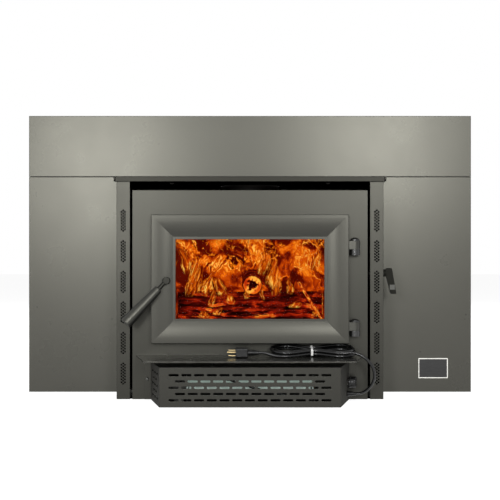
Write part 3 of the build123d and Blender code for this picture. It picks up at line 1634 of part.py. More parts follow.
tie_inner_depth = 2 * (outer_waist + cord_radius + tie_gap)
tie_inner_height = hank_layer + 2 * (cord_radius + tie_gap)
tie_inner_corner = cord_radius + tie_gap
tie_plane = Plane(
    origin=on_hank(hank_waist - tie_width / 2, 0, hank_layer / 2),
    x_dir=(0, cos(lean), sin(lean)),
    z_dir=(1, 0, 0),
)
with BuildPart() as hank_tie:
    with BuildSketch(tie_plane):
        RectangleRounded(
            tie_inner_depth + 2 * tie_thickness,
            tie_inner_height + 2 * tie_thickness,
            tie_inner_corner + tie_thickness,
        )
        RectangleRounded(tie_inner_depth, tie_inner_height, tie_inner_corner, mode=Mode.SUBTRACT)
    extrude(amount=tie_width)
hank_tie.part.label = "hank_tie"
export_step(hank_tie.part, "parts/hank_tie.step")

# ------------------------------------------------------------------ plug
with BuildPart() as plug_body:
    with BuildSketch(Plane.YZ.offset(plug_front)):
        with Locations((plug_y + earth_pin_radius, plug_z)):
            RectangleRounded(plug_depth, plug_height, plug_rounding)
    extrude(amount=plug_rear - plug_front)
    fillet(plug_body.faces().sort_by(Axis.X)[-1].edges(), plug_rounding / 2)
    with BuildSketch(Plane.YZ.offset(plug_rear)):
        with Locations((plug_y, plug_z)):
            Circle(plug_relief_start)
    with BuildSketch(Plane.YZ.offset(plug_rear + plug_relief_length)):
        with Locations((plug_y, plug_z)):
            Circle(plug_relief_end)
    loft()
    for rib in range(plug_relief_ribs):
        with BuildSketch(Plane.YZ.offset(plug_rear + 2 + rib * plug_rib_pitch)):
            with Locations((plug_y, plug_z)):
                Circle(plug_relief_start + plug_rib_proud - rib * plug_rib_proud / plug_relief_ribs)
        extrude(amount=plug_rib_width)
plug_body.part.label = "plug_body"
export_step(plug_body.part, "parts/plug_body.step")

with BuildPart() as plug_blades:
    with BuildSketch(Plane.YZ.offset(plug_front)):
        with Locations((plug_y, plug_z)):
            with GridLocations(0, blade_spacing, 1, 2):
                Rectangle(blade_width, blade_thickness)
    extrude(amount=-blade_length)
    with BuildSketch(Plane.YZ.offset(plug_front)):
        with Locations((plug_y + earth_pin_offset, plug_z)):
            Circle(earth_pin_radius)
    extrude(amount=-earth_pin_length)
plug_blades.part.label = "plug_blades"
export_step(plug_blades.part, "parts/plug_blades.step")
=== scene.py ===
import random
from math import atan2, cos, dist, pi, radians, sin

import bmesh
import bpy
from mathutils import Matrix, Vector, noise


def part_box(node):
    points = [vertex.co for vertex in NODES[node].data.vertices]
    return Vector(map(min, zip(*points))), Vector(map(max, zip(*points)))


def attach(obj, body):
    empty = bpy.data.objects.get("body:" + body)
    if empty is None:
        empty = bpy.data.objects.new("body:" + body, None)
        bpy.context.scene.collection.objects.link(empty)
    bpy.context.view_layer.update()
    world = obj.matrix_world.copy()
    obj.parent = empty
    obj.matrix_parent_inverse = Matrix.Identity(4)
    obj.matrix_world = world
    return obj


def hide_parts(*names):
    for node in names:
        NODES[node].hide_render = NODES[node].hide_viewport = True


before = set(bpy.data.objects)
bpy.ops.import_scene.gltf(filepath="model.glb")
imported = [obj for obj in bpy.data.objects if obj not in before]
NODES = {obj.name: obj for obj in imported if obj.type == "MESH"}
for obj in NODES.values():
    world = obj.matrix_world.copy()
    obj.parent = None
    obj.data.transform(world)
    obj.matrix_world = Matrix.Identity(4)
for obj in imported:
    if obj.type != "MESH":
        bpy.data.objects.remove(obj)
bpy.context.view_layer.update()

bl_info = {
    "name": "Fireplace insert",
    "version": (1, 0, 0),
    "blender": (4, 5, 0),
    "location": "3D View > Sidebar > Fireplace insert",
    "description": "Finishes, fire, fasteners, mains lead and stage for a fireplace insert with a surround",
    "category": "Object",
}

INSERT, DOOR, KNOB = "insert", "door", "knob"


# ---------------------------------------------------------------- settings
class FinishSettings(bpy.types.PropertyGroup):
    """Colours of the paints and metals."""
    surround: bpy.props.FloatVectorProperty(
        name="Surround paint", description="Colour of the three surround panels",
        subtype="COLOR", size=3, min=0, max=1, default=(0.047, 0.046, 0.041))
    body: bpy.props.FloatVectorProperty(
        name="Body paint", description="Colour of the face plate, the columns and the ash lip",
        subtype="COLOR", size=3, min=0, max=1, default=(0.014, 0.0137, 0.0124))
    door: bpy.props.FloatVectorProperty(
        name="Door paint", description="Colour of the door and the blower box",
        subtype="COLOR", size=3, min=0, max=1, default=(0.020, 0.0195, 0.018))
    shelf: bpy.props.FloatVectorProperty(
        name="Shelf paint", description="Colour of the top shelf",
        subtype="COLOR", size=3, min=0, max=1, default=(0.010, 0.0093, 0.008))
    blower: bpy.props.FloatVectorProperty(
        name="Blower paint", description="Colour of the blower behind the slots",
        subtype="COLOR", size=3, min=0, max=1, default=(0.70, 0.79, 0.745))


class FireSettings(bpy.types.PropertyGroup):
    """How the fire burns."""
    tongues: bpy.props.IntProperty(
        name="Flame tongues", description="How many tongues of flame stand on the logs, besides the licks",
        min=1, max=200, default=8)
    brightness: bpy.props.FloatProperty(
        name="Flame brightness", description="Strength of the light of the flames",
        min=0, max=10, default=1.0)
    glow: bpy.props.FloatProperty(
        name="Ember glow", description="Strength of the light of the embers",
        min=0, max=10, default=1.0)
    coal_size: bpy.props.FloatProperty(
        name="Coal size", description="Size of a lump of coal", subtype="DISTANCE", unit="LENGTH",
        min=0.002, max=0.05, default=0.012)
    coal_density: bpy.props.FloatProperty(
        name="Coals per square metre", description="How closely the lumps lie",
        min=0, max=50000, default=7000)


class LeadSettings(bpy.types.PropertyGroup):
    """The mains lead."""
    diameter: bpy.props.FloatProperty(
        name="Lead diameter", description="Outside diameter of the mains lead",
        subtype="DISTANCE", unit="LENGTH", min=0.003, max=0.02, default=0.007)


class StageSettings(bpy.types.PropertyGroup):
    """Floor, lamps and camera."""
    camera_distance: bpy.props.FloatProperty(
        name="Camera distance", description="From the camera to the plane of the wall", subtype="DISTANCE",
        unit="LENGTH", min=0.5, max=20, default=2.82)
    camera_height: bpy.props.FloatProperty(
        name="Camera height", description="Height of the camera over the hearth", subtype="DISTANCE",
        unit="LENGTH", min=0, max=5, default=0.3588)
    lens: bpy.props.FloatProperty(
        name="Lens", description="Focal length on a 36 mm sensor, in millimetres",
        min=10, max=300, default=79.7)
    key_power: bpy.props.FloatProperty(
        name="Key lamps", description="Power of each softbox before the front, in watts", min=0, max=1000,
        default=50)
    side_power: bpy.props.FloatProperty(
        name="Back lamps", description="Power that the softboxes behind the object share in, in watts", min=0,
        max=1000, default=34)
    fill: bpy.props.FloatProperty(
        name="Room light", description="Brightness of the plain room", min=0, max=2, default=0.10)


# ---------------------------------------------------------------- node wiring
def reckoning(operation):
    """A sum with one or two values, as a Math node."""
    return lambda self, other=None: self.wiring.make("ShaderNodeMath", {"operation": operation}, self, other)


def pointing(operation, output=0):
    """A sum with one or two vectors, as a Vector Math node."""
    return lambda self, other=None: self.wiring.make(
        "ShaderNodeVectorMath", {"operation": operation}, self, other, output=output)


class Signal:
    """An output of a node, which is reckoned with like a number or a vector."""
    __add__, __sub__, __mul__ = reckoning("ADD"), reckoning("SUBTRACT"), reckoning("MULTIPLY")
    __lt__, __gt__, __abs__ = reckoning("LESS_THAN"), reckoning("GREATER_THAN"), reckoning("ABSOLUTE")
    most, sine, fraction = reckoning("MAXIMUM"), reckoning("SINE"), reckoning("FRACT")
    moved, less = pointing("ADD"), pointing("SUBTRACT")
    times, folded = pointing("MULTIPLY"), pointing("ABSOLUTE")
    dot = pointing("DOT_PRODUCT", 1)

    def __init__(self, wiring, socket):
        self.wiring, self.socket = wiring, socket

    def clamped(self):
        self.socket.node.use_clamp = True
        return self

    def scaled(self, factor):
        return self.wiring.make("ShaderNodeVectorMath", {"operation": "SCALE"}, self, None, None, factor)

    def parts(self):
        made = self.wiring.add("ShaderNodeSeparateXYZ", {}, self)
        return [Signal(self.wiring, socket) for socket in made.outputs]

    def stretch(self, *scale):
        return self.wiring.make("ShaderNodeMapping", Vector=self, Scale=scale)

    def noise(self, scale=1.0, detail=3.0, roughness=0.5, distortion=0.0, colour=False):
        return self.wiring.make("ShaderNodeTexNoise", output=int(colour), Vector=self, Scale=scale,
                                Detail=detail, Roughness=roughness, Distortion=distortion)

    def swirl(self, scale, detail, roughness=0.5):
        """A vector that wanders about nought."""
        return self.noise(scale, detail, roughness, colour=True).less((0.5, 0.5, 0.5))

    def remap(self, low, high, new_low=0.0, new_high=1.0, curve="SMOOTHSTEP"):
        return self.wiring.make("ShaderNodeMapRange", {"interpolation_type": curve},
                                self, low, high, new_low, new_high)

    def contour(self, level, width):
        """A thin line where the value crosses a level."""
        return abs(self - level).remap(width, 0.0)

    def mix(self, first, second):
        """The first colour at nought, the second at one."""
        made = self.wiring.add("ShaderNodeMix", {"data_type": "RGBA"}, self, *[None] * 5, first, second)
        return Signal(self.wiring, made.outputs[2])

    def ramp(self, stops):
        made = self.wiring.add("ShaderNodeValToRGB", {}, self)
        points = made.color_ramp.elements
        while len(points) < len(stops):
            points.new(0.5)
        for point, (place, colour) in zip(points, stops):
            point.position, point.color = place, (*colour, 1.0)
        return Signal(self.wiring, made.outputs[0])

    def bump(self, strength, distance, normal=None):
        return self.wiring.make("ShaderNodeBump", Height=self, Strength=strength, Distance=distance,
                                Normal=normal)


class Wiring:
    """Adds nodes to one tree and joins them."""

    def __init__(self, tree, material=None):
        self.tree, self.material, self.count = tree, material, 0

    def add(self, kind, settings=None, *ordered, **inputs):
        """A new node; its inputs are given in their order or by name."""
        made = self.tree.nodes.new(kind)
        self.count += 1
        made.location = (self.count * 180, (self.count % 5) * -160)
        for name, value in (settings or {}).items():
            setattr(made, name, value)
        named = [(made.inputs[name.replace("_", " ")], value) for name, value in inputs.items()]
        for socket, value in [*zip(made.inputs, ordered), *named]:
            self.put(socket, value)
        return made

    def make(self, kind, settings=None, *ordered, output=0, **inputs):
        return Signal(self, self.add(kind, settings, *ordered, **inputs).outputs[output])

    def put(self, socket, value):
        if isinstance(value, Signal):
            self.tree.links.new(value.socket, socket)
        elif value is not None:
            socket.default_value = (*value, 1.0) if socket.type == "RGBA" and len(value) == 3 else value

    def place(self):
        return self.make("ShaderNodeTexCoord", output="Object")

    def lay(self):
        return self.make("ShaderNodeUVMap", {"uv_map": "lay"})

    def normal(self):
        return self.make("ShaderNodeNewGeometry", output="Normal")

    def given(self):
        """What the tree is given, by name."""
        return {socket.name: Signal(self, socket) for socket in self.add("NodeGroupInput").outputs}

    def finished(self, **inputs):
        """The material, once its Principled shader has these inputs."""
        self.add("ShaderNodeOutputMaterial", Surface=self.make("ShaderNodeBsdfPrincipled", **inputs))
        return self.material


def new_finish(name):
    """The wiring of a new material."""
    material = bpy.data.materials.new(name)
    material.use_nodes = True
    material.node_tree.nodes.clear()
    return Wiring(material.node_tree, material)


# ---------------------------------------------------------------- effects that several finishes share
def grain_inside(wiring, given):
    """Paint with a faint cloud, fine grain and pale flecks."""
    place = wiring.place()
    cloud, fine = place.noise(9.0, 4.0, 0.6), place.noise(given["Grain scale"], 2.0, 0.6)
    fleck = place.noise(given["Grain scale"] * 3.1, 1.0)
    shade = cloud.remap(0.0, 1.0, -0.2, 0.2, "LINEAR") + fine.remap(0.3, 0.7, -0.5, 0.5)
    shade = shade + fleck.remap(0.6, 0.85, 0.0, 1.2)
    return {"Colour": given["Colour"].scaled(shade * given["Amount"] + 1.0), "Height": fine,
            "Roughness": cloud.remap(0.0, 1.0, -1.0, 1.0, "LINEAR") * 0.03 + given["Roughness"]}


def wear_inside(wiring, given):
    """Rounded edges, worn in patches."""
    rounded = wiring.make("ShaderNodeBevel", {"samples": 4}, Radius=given["Radius"])
    patchy = wiring.place().noise(60.0).remap(0.42, 0.62)
    return {"Edge": rounded.dot(wiring.normal()).remap(0.992, 0.90) * (patchy * 0.7 + 0.3), "Normal": rounded}


def streak_inside(wiring, given):
    """Fine lines drawn along the metal."""
    lines = wiring.place().times(given["Stretch"]).noise(1.0, 4.0, 0.65)
    shade = lines.remap(0.3, 0.7, -1.0, 1.0) * given["Amount"] + 1.0
    return {"Colour": given["Colour"].scaled(shade), "Height": lines}


def braid_inside(wiring, given):
    """Crossing yarns from a UV map: u along the rope, v round it."""
    parts = wiring.lay().parts()
    along, around = parts[0] * given["Along"], parts[1] * given["Around"]
    over = (along + around).sine().most((along - around).sine())
    fibre = wiring.place().noise(900.0, 2.0, 0.7)
    shade = over.remap(-0.4, 1.0) * 0.55 + 0.5
    return {"Colour": given["Colour"].scaled(shade), "Height": fibre * 0.35 + over}


COLOUR, VALUE, DIRECTION = "NodeSocketColor", "NodeSocketFloat", "NodeSocketVector"
# Each effect: its name, its inside, its inputs with their kinds and values, and its outputs with their kinds.
GROUP_PLANS = {
    "grain": ("Satin paint grain", grain_inside,
              [("Colour", COLOUR, (0.2, 0.2, 0.2, 1)), ("Amount", VALUE, 0.12), ("Grain scale", VALUE, 700.0),
               ("Roughness", VALUE, 0.5)], [("Colour", COLOUR), ("Roughness", VALUE), ("Height", VALUE)]),
    "wear": ("Rounded edge and wear", wear_inside,
             [("Radius", VALUE, 0.0008)], [("Edge", VALUE), ("Normal", DIRECTION)]),
    "streak": ("Drawn metal streaks", streak_inside,
               [("Colour", COLOUR, (0.5, 0.5, 0.5, 1)), ("Amount", VALUE, 0.12),
                ("Stretch", DIRECTION, (40, 900, 900))],
               [("Colour", COLOUR), ("Height", VALUE)]),
    "braid": ("Braided yarn", braid_inside,
              [("Colour", COLOUR, (0.3, 0.3, 0.28, 1)), ("Along", VALUE, 900.0), ("Around", VALUE, 37.7)],
              [("Colour", COLOUR), ("Height", VALUE)]),
}
GROUPS = {}


def use_group(wiring, key, **inputs):
    """Places a shared effect, built the first time that it is used, and gives its outputs by name."""
    if key not in GROUPS:
        name, build, entries, results = GROUP_PLANS[key]
        tree = GROUPS[key] = bpy.data.node_groups.new(name, "ShaderNodeTree")
        for label, kind, value in entries:
            tree.interface.new_socket(name=label, in_out="INPUT", socket_type=kind).default_value = value
        for label, kind in results:
            tree.interface.new_socket(name=label, in_out="OUTPUT", socket_type=kind)
        inside = Wiring(tree)
        inside.add("NodeGroupOutput", **build(inside, inside.given()))
    made = wiring.add("ShaderNodeGroup", {"node_tree": GROUPS[key]}, **inputs)
    return {socket.name: Signal(wiring, socket) for socket in made.outputs}


# ---------------------------------------------------------------- finishes
# Warm tint on the sheen of every satin paint; it stands in for warm lamp light.
SHEEN_TINT = (1.0, 0.985, 0.84)


def tinted(colour, factor):
    """A colour made lighter or darker."""
    return [min(1, part * factor) for part in colour]


def satin_paint(name, colour, roughness=0.28, amount=0.12, grain_scale=700.0, radius=0.0008,
                bare=(0.10, 0.098, 0.09), wear=0.35, specular=0.44, relief=0.00002, matt_sides=False,
                rubbed_box=None):
    """Heat-proof satin paint with fine flecks, rounded edges and a little worn metal; on the ash lip the pale
    edges and on the lever a square patch in a box are painted highlights.
    """
    wiring = new_finish(name)
    grain = use_group(wiring, "grain", Colour=colour, Amount=amount, Grain_scale=grain_scale,
                      Roughness=roughness)
    edge = use_group(wiring, "wear", Radius=radius)
    # Worn edges; where the edge colour is pale, as on the ash lip, they are a painted highlight.
    wear_and_highlight, rough = edge["Edge"] * wear, grain["Roughness"]
    # Painted highlight: inside the box the paint takes the pale edge colour.
    if rubbed_box:
        beyond = wiring.place().less(rubbed_box[0]).folded().less(rubbed_box[1]).parts()
        wear_and_highlight = wear_and_highlight.most(beyond[0].most(beyond[2]).remap(0.0006, -0.0006))
    if matt_sides:
        rough = rough.most(abs(wiring.normal().parts()[0]).remap(0.4, 0.8, 0.0, 0.9))
    return wiring.finished(
        Base_Color=wear_and_highlight.mix(grain["Colour"], bare), Roughness=rough, Specular_IOR_Level=specular,
        Specular_Tint=SHEEN_TINT, Normal=grain["Height"].bump(0.5, relief, edge["Normal"]))


def fan_paint_with_painted_glow(name, colour, glow, band=None):
    """Pale fan paint with a faint painted glow for the light from the slots; painted shade, nearly black,
    outside the lit heights.
    """
    wiring = new_finish(name)
    grain = use_group(wiring, "grain", Colour=colour, Amount=0.06, Grain_scale=500.0, Roughness=0.40)
    shade = grain["Colour"]
    # Painted shade: nearly black above and below the heights that the slots light.
    if band:
        height = wiring.place().parts()[2]
        lit = height.remap(band[0] - 0.003, band[0]) * height.remap(band[1] + 0.002, band[1])
        shade = lit.mix((0.008, 0.008, 0.008), shade)
    # Painted light: the paint glows by its own emission, though it is no lamp.
    return wiring.finished(
        Base_Color=shade, Emission_Color=shade, Emission_Strength=glow, Roughness=grain["Roughness"],
        Normal=use_group(wiring, "wear", Radius=0.0006)["Normal"])


def drawn_metal(name, colour, roughness=0.35, amount=0.12, stretch=(40, 900, 900)):
    """Bare metal with fine drawn lines."""
    wiring = new_finish(name)
    streak = use_group(wiring, "streak", Colour=colour, Amount=amount, Stretch=stretch)
    edge, lines = use_group(wiring, "wear", Radius=0.0005), streak["Height"]
    return wiring.finished(Base_Color=edge["Edge"].mix(streak["Colour"], tinted(colour, 1.25)), Metallic=1.0,
                           Roughness=lines.remap(0.2, 0.8, roughness - 0.06, roughness + 0.1),
                           Normal=lines.bump(0.3, 0.00003, edge["Normal"]))


def spangled_zinc(name, colour, roughness=0.42, metal=0.85, jacket=None):
    """Galvanised sheet with crystal spangle; inside a jacket it is painted nearly black as painted shade."""
    wiring = new_finish(name)
    place = wiring.place()
    bent = place.moved(place.noise(40.0, 2.0, colour=True).scaled(0.01))
    cells = wiring.make("ShaderNodeTexVoronoi", output="Color", Vector=bent, Scale=110.0)
    crystal = wiring.make("ShaderNodeSeparateColor", Color=cells)
    sheet = wiring.make("ShaderNodeVectorMath", {"operation": "SCALE"}, colour, None, None,
                        crystal.remap(0.0, 1.0, 0.80, 1.08, "LINEAR"))
    rough, gloss = crystal.remap(0.0, 1.0, roughness - 0.08, roughness + 0.12), None
    # Painted shade: the jacket's inner faces are nearly black, matt and not metal, so that the holes in the
    # columns look dark.
    if jacket:
        skin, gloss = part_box(jacket)[1] - Vector((0.001, 0.001, 0.001)), 0.0
        x, y, z = place.parts()
        inside = (abs(x) < skin.x) * (z < skin.z) * (y < skin.y)
        sheet = inside.mix(sheet, place.noise(30.0, 4.0).mix((0.004, 0.004, 0.004), (0.010, 0.009, 0.008)))
        rough = rough.most(inside * 0.85)
        metal = inside * -metal + metal
    return wiring.finished(
        Base_Color=sheet, Roughness=rough, Metallic=metal, Specular_IOR_Level=gloss,
        Normal=place.noise(220.0).bump(0.25, 0.0001, use_group(wiring, "wear", Radius=0.0006)["Normal"]))


def gloss_enamel(name, colour, roughness=0.16):
    """Black gloss with a faint orange peel."""
    wiring = new_finish(name)
    place = wiring.place()
    edge = use_group(wiring, "wear", Radius=0.0008)
    return wiring.finished(
        Base_Color=(edge["Edge"] * 0.3).mix(colour, (0.25, 0.25, 0.24)), Specular_IOR_Level=0.6,
        Roughness=place.noise(90.0).remap(0.3, 0.7, roughness, roughness + 0.08),
        Normal=place.noise(500.0, 2.0).bump(0.2, 0.00003, edge["Normal"]))


def moulded_rubber(name, colour, roughness, specular=0.5):
    """Moulded rubber or plastic."""
    wiring = new_finish(name)
    place = wiring.place()
    cloud = place.noise(30.0)
    edge = use_group(wiring, "wear", Radius=0.0007)
    return wiring.finished(
        Base_Color=cloud.remap(0.35, 0.7).mix(colour, [part * 1.6 for part in colour]),
        Specular_IOR_Level=specular, Roughness=cloud.remap(0.3, 0.7, roughness - 0.04, roughness + 0.08),
        Normal=place.noise(1500.0, 2.0).bump(0.3, 0.00004, edge["Normal"]))


def fired_brick(name, clay=(0.50, 0.36, 0.24), soot=0.75):
    """Pale fired clay, pitted and darkened by smoke."""
    wiring = new_finish(name)
    place = wiring.place()
    blotch, speck = place.noise(25.0, 5.0, 0.6), place.noise(420.0, 3.0, 0.7)
    body = blotch.ramp([(0.3, tinted(clay, 0.7)), (0.55, clay), (0.75, tinted(clay, 1.25))])
    cloud = place.noise(6.0, 4.0, 0.6, 0.4).remap(0.35, 0.65) * soot
    smoke = cloud.most(place.parts()[2].remap(0.25, 0.42) * soot)
    return wiring.finished(Base_Color=smoke.mix(body, (0.025, 0.020, 0.016)), Roughness=0.92,
                           Normal=(speck + blotch).bump(0.6, 0.0008))


def scaled_steel(name, colour=(0.045, 0.040, 0.036)):
    """Plate that the fire has blued and scaled."""
    wiring = new_finish(name)
    place = wiring.place()
    cloud = place.noise(14.0, 5.0, 0.62, 0.5)
    return wiring.finished(
        Base_Color=cloud.ramp([(0.25, tinted(colour, 0.5)), (0.5, colour), (0.8, (0.105, 0.085, 0.072))]),
        Roughness=cloud.remap(0.2, 0.8, 0.75, 0.5), Metallic=0.3,
        Normal=place.noise(350.0, 4.0, 0.7).bump(0.5, 0.0002))


def fibre_board(name, colour=(0.55, 0.50, 0.42)):
    """Soft ceramic board, smoke stained below."""
    wiring = new_finish(name)
    place = wiring.place()
    fibres = place.stretch(150, 420, 300).noise(1.0, 4.0, 0.7)
    body = fibres.remap(0.35, 0.7).mix(tinted(colour, 0.75), colour)
    stain = place.noise(9.0, 4.0).remap(0.35, 0.65, 0.2, 0.85)
    return wiring.finished(Base_Color=stain.mix(body, (0.05, 0.04, 0.03)), Roughness=0.95,
                           Normal=fibres.bump(0.5, 0.0006))


def braided_rope(name, colour, along, around):
    """Braided glass-fibre rope."""
    wiring = new_finish(name)
    braid = use_group(wiring, "braid", Colour=colour, Along=along, Around=around)
    return wiring.finished(Base_Color=braid["Colour"], Roughness=0.85, Sheen_Weight=0.3,
                           Normal=braid["Height"].bump(0.8, 0.0008))


def ceramic_glass(name):
    """Clear heat-proof glass, lightly smoked towards its edges."""
    wiring = new_finish(name)
    place, middle_height = wiring.place(), 0.2895
    haze = place.stretch(7, 7, 16).noise(1.0, 4.0, 0.6)
    x, _, z = place.parts()
    rim = abs(x).remap(0.164, 0.184).most(abs(z - middle_height).remap(0.083, 0.100))
    smoke = rim * haze.remap(0.3, 0.7, 0.25, 0.8)
    return wiring.finished(Base_Color=smoke.mix((1.0, 0.995, 0.985), (0.30, 0.20, 0.12)), IOR=1.04,
                           Transmission_Weight=1.0, Roughness=haze.remap(0.3, 0.8, 0.0, 0.03))


def badge_finish(name):
    """Dark blank plate inside a thin bright border."""
    wiring = new_finish(name)
    low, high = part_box("badge_plate")
    middle, half = (low + high) / 2, (high - low) / 2
    place = wiring.place()
    x, _, z = place.parts()
    border = (abs(x - middle.x) - half.x).most(abs(z - middle.z) - half.z).remap(-0.0028, -0.0022)
    lines = place.stretch(60, 900, 900).noise()
    shade = lines.remap(0.3, 0.7)
    dark = shade.mix((0.004, 0.004, 0.004), (0.011, 0.011, 0.011))
    bright = shade.mix((0.55, 0.54, 0.50), (0.75, 0.74, 0.70))
    return wiring.finished(Base_Color=border.mix(dark, bright), Metallic=border * 0.6 + 0.2, Roughness=0.32,
                           Normal=(border + lines * 0.1).bump(0.6, 0.0003))


FINISHES = {}


def finish(key):
    """The named finish, made the first time that it is used."""
    tones, zinc = bpy.context.scene.insert_finish, (0.50, 0.51, 0.50)
    makers = {
        "surround": lambda: satin_paint("Surround satin", tones.surround, 0.28, 0.10, 650.0, 0.0012,
                                        wear=0.15),
        "body": lambda: satin_paint("Body satin", tones.body, 0.32, 0.10, 700.0, 0.0009, specular=0.34),
        "box": lambda: satin_paint("Blower box satin", tones.door, 0.28, 0.10, 700.0, 0.0018, specular=0.34,
                                   matt_sides=True),
        "shelf": lambda: satin_paint("Shelf satin", tones.shelf, 0.34, 0.12, 700.0, 0.0009, wear=0.6,
                                     specular=0.16),
        # Painted highlight: a pale edge colour and a strong wear amount light up the lip's front edge.
        "lip": lambda: satin_paint("Ash lip satin", tones.body, 0.27, 0.12, 700.0, 0.0012,
                                   (0.34, 0.33, 0.31), 0.9, 0.40),
        "door": lambda: satin_paint("Cast door satin", tones.door, 0.30, 0.13, 480.0, 0.0010, specular=0.40,
                                    relief=0.00006),
        "hinge": lambda: satin_paint("Hinge block grey", (0.030, 0.030, 0.028), 0.32, 0.10, 500.0, 0.0010,
                                     specular=0.42),
        "gloss": lambda: gloss_enamel("Hinge gloss black", (0.010, 0.010, 0.009)),
        # Painted highlight: a square patch on the lever's end facet is painted pale; its edges are worn too.
        "lever": lambda: satin_paint("Lever satin", (0.006, 0.006, 0.005), 0.5, 0.12, 600.0, 0.0010,
                                     (0.13, 0.13, 0.12), 0.5, 0.10,
                                     rubbed_box=((0.3460, -0.125, 0.2684), (0.0060, 0.05, 0.0060))),
        "shaft": lambda: satin_paint("Shaft satin", (0.008, 0.008, 0.007), 0.34, 0.12, 500.0, 0.0006,
                                     wear=0.6, specular=0.20),
        "grip": lambda: satin_paint("Grip satin", (0.016, 0.016, 0.015), 0.32, 0.10, 500.0, 0.0010, wear=0.5,
                                    specular=0.50),
        "steel": lambda: drawn_metal("Drawn steel", (0.46, 0.45, 0.43)),
        "dark steel": lambda: drawn_metal("Blackened steel", (0.07, 0.07, 0.065), 0.4),
        "zinc": lambda: spangled_zinc("Galvanised sheet", zinc),
        "jacket": lambda: spangled_zinc("Galvanised jacket", zinc, jacket="outer_jacket"),
        # Housing and fan glow as painted light; the housing is painted nearly black outside the lit heights as
        # painted shade.
        "blower": lambda: fan_paint_with_painted_glow("Blower housing paint", tones.blower, 0.13, (0.038, 0.0625)),
        "fan": lambda: fan_paint_with_painted_glow("Fan paint", tones.blower, 0.11),
        "flue": lambda: drawn_metal("Flue collar steel", (0.050, 0.047, 0.044), 0.55, 0.2, (900, 900, 40)),
        "shell": lambda: scaled_steel("Firebox plate"),
        "brick": lambda: fired_brick("Firebrick"),
        "board": lambda: fibre_board("Baffle board"),
        "tube": lambda: scaled_steel("Air tube steel", (0.11, 0.085, 0.065)),
        "rope": lambda: braided_rope("Door rope", (0.10, 0.10, 0.095), 2400.0, 25.13),
        "tape": lambda: braided_rope("Glass tape", (0.22, 0.21, 0.19), 1800.0, 18.85),
        "glass": lambda: ceramic_glass("Ceramic glass"),
        "badge": lambda: badge_finish("Blank badge"),
        "rubber": lambda: moulded_rubber("Lead rubber", (0.003, 0.003, 0.003), 0.20, 0.42),
        "plug": lambda: moulded_rubber("Plug rubber", (0.004, 0.004, 0.004), 0.30, 0.25),
        "knob": lambda: moulded_rubber("Knob plastic", (0.005, 0.005, 0.005), 0.20, 0.30),
        "tie": lambda: moulded_rubber("White tie", (0.72, 0.72, 0.70), 0.45),
        "brass": lambda: drawn_metal("Blade brass", (0.46, 0.36, 0.19), 0.36, 0.08, (60, 900, 900)),
        "bronze": lambda: drawn_metal("Bearing bronze", (0.42, 0.28, 0.14), 0.45),
    }
    if key not in FINISHES:
        FINISHES[key] = makers[key]()
    return FINISHES[key]


NODE_FINISH = {
    "surround": "surround_left surround_right surround_top", "badge": "badge_plate", "shelf": "top_shelf",
    "lip": "ash_lip", "body": "left_column right_column face_plate",
    "box": "blower_box", "door": "door_frame",
    "hinge": "door_hinge_blocks", "gloss": "hinge_knuckles hinge_pins",
    "grip": "handle_grip", "shaft": "handle_shaft",
    "lever": "air_lever", "jacket": "outer_jacket", "zinc": "surround_brackets firebox_legs air_shutter",
    "steel": "handle_bushing latch_cam cam_nut latch_keeper lever_bushing shutter_guides glass_retainers "
             "knob_nut",
    "blower": "blower_housing", "fan": "fan_rotor", "dark steel": "blower_motor levelling_bolts",
    "bronze": "fan_bearing", "flue": "flue_collar", "shell": "firebox_shell", "board": "baffle_board",
    "brick": "floor_bricks left_side_bricks right_side_bricks rear_bricks", "tube": "secondary_air_tubes",
    "glass": "door_glass", "plug": "strain_relief speed_control plug_body",
    "tie": "hank_tie", "brass": "plug_blades",
}


class INSERT_OT_finishes(bpy.types.Operator):
    """Paint, metal, brick, board and glass on the pieces from the frame"""
    bl_idname = "insert.finishes"
    bl_label = "Finishes"

    def execute(self, context):
        for key, names in NODE_FINISH.items():
            for name in names.split():
                slots = NODES[name].data.materials
                slots.clear()
                slots.append(finish(key))
        return {"FINISHED"}


# ---------------------------------------------------------------- mesh helpers
def linked(name, data):
    """A new object in the scene."""
    made = bpy.data.objects.new(name, data)
    bpy.context.scene.collection.objects.link(made)
    return made


def bare_mesh(name, points, faces, smooth=True):
    """A mesh from points and faces, without a material."""
    mesh = bpy.data.meshes.new(name)
    mesh.from_pydata([tuple(point) for point in points], [], faces)
    mesh.polygons.foreach_set("use_smooth", [smooth] * len(mesh.polygons))
    return mesh


def new_piece(name, points, faces, material, uv=None, flat=False):
    """A mesh object; a flat one keeps its faces as given, any other is shaded smooth and turned outwards."""
    mesh = bare_mesh(name, points, faces, not flat)
    if uv is not None:
        layer = mesh.uv_layers.new(name="lay")
        for loop in mesh.loops:
            layer.data[loop.index].uv = uv[loop.vertex_index]
    mesh.materials.append(material)
    if not flat:
        work = bmesh.new()
        work.from_mesh(mesh)
        bmesh.ops.recalc_face_normals(work, faces=work.faces)
        work.to_mesh(mesh)
        work.free()
    return linked(name, mesh)


def join_grid(rows, columns, round_across=False, round_along=False, start=0):
    """Quads of a grid of points, row after row; either way may close on itself."""
    faces = []
    for row in range(rows if round_along else rows - 1):
        here, there = start + row * columns, start + (row + 1) % rows * columns
        for column in range(columns if round_across else columns - 1):
            right = (column + 1) % columns
            faces.append((here + column, here + right, there + right, there + column))
    return faces


def shifted(faces, count):
    """Faces whose points come after as many others."""
    return [tuple(count + index for index in face) for face in faces]


def closed_sheet(grid, behind):
    """A closed sheet from a grid of points: its front, its back as behind places it, and its edges."""
    rows, columns = len(grid), len(grid[0])
    front = [point for row in grid for point in row]
    count, faces = len(front), join_grid(rows, columns)
    faces += shifted([face[::-1] for face in faces], count)
    rim = list(range(columns)) + [row * columns + columns - 1 for row in range(1, rows)]
    rim += [(rows - 1) * columns + column for column in range(columns - 2, -1, -1)]
    rim += [row * columns for row in range(rows - 2, 0, -1)]
    for here, there in zip(rim, rim[1:] + rim[:1]):
        faces.append((there, here, count + here, count + there))
    return front + [behind(point) for point in front], faces


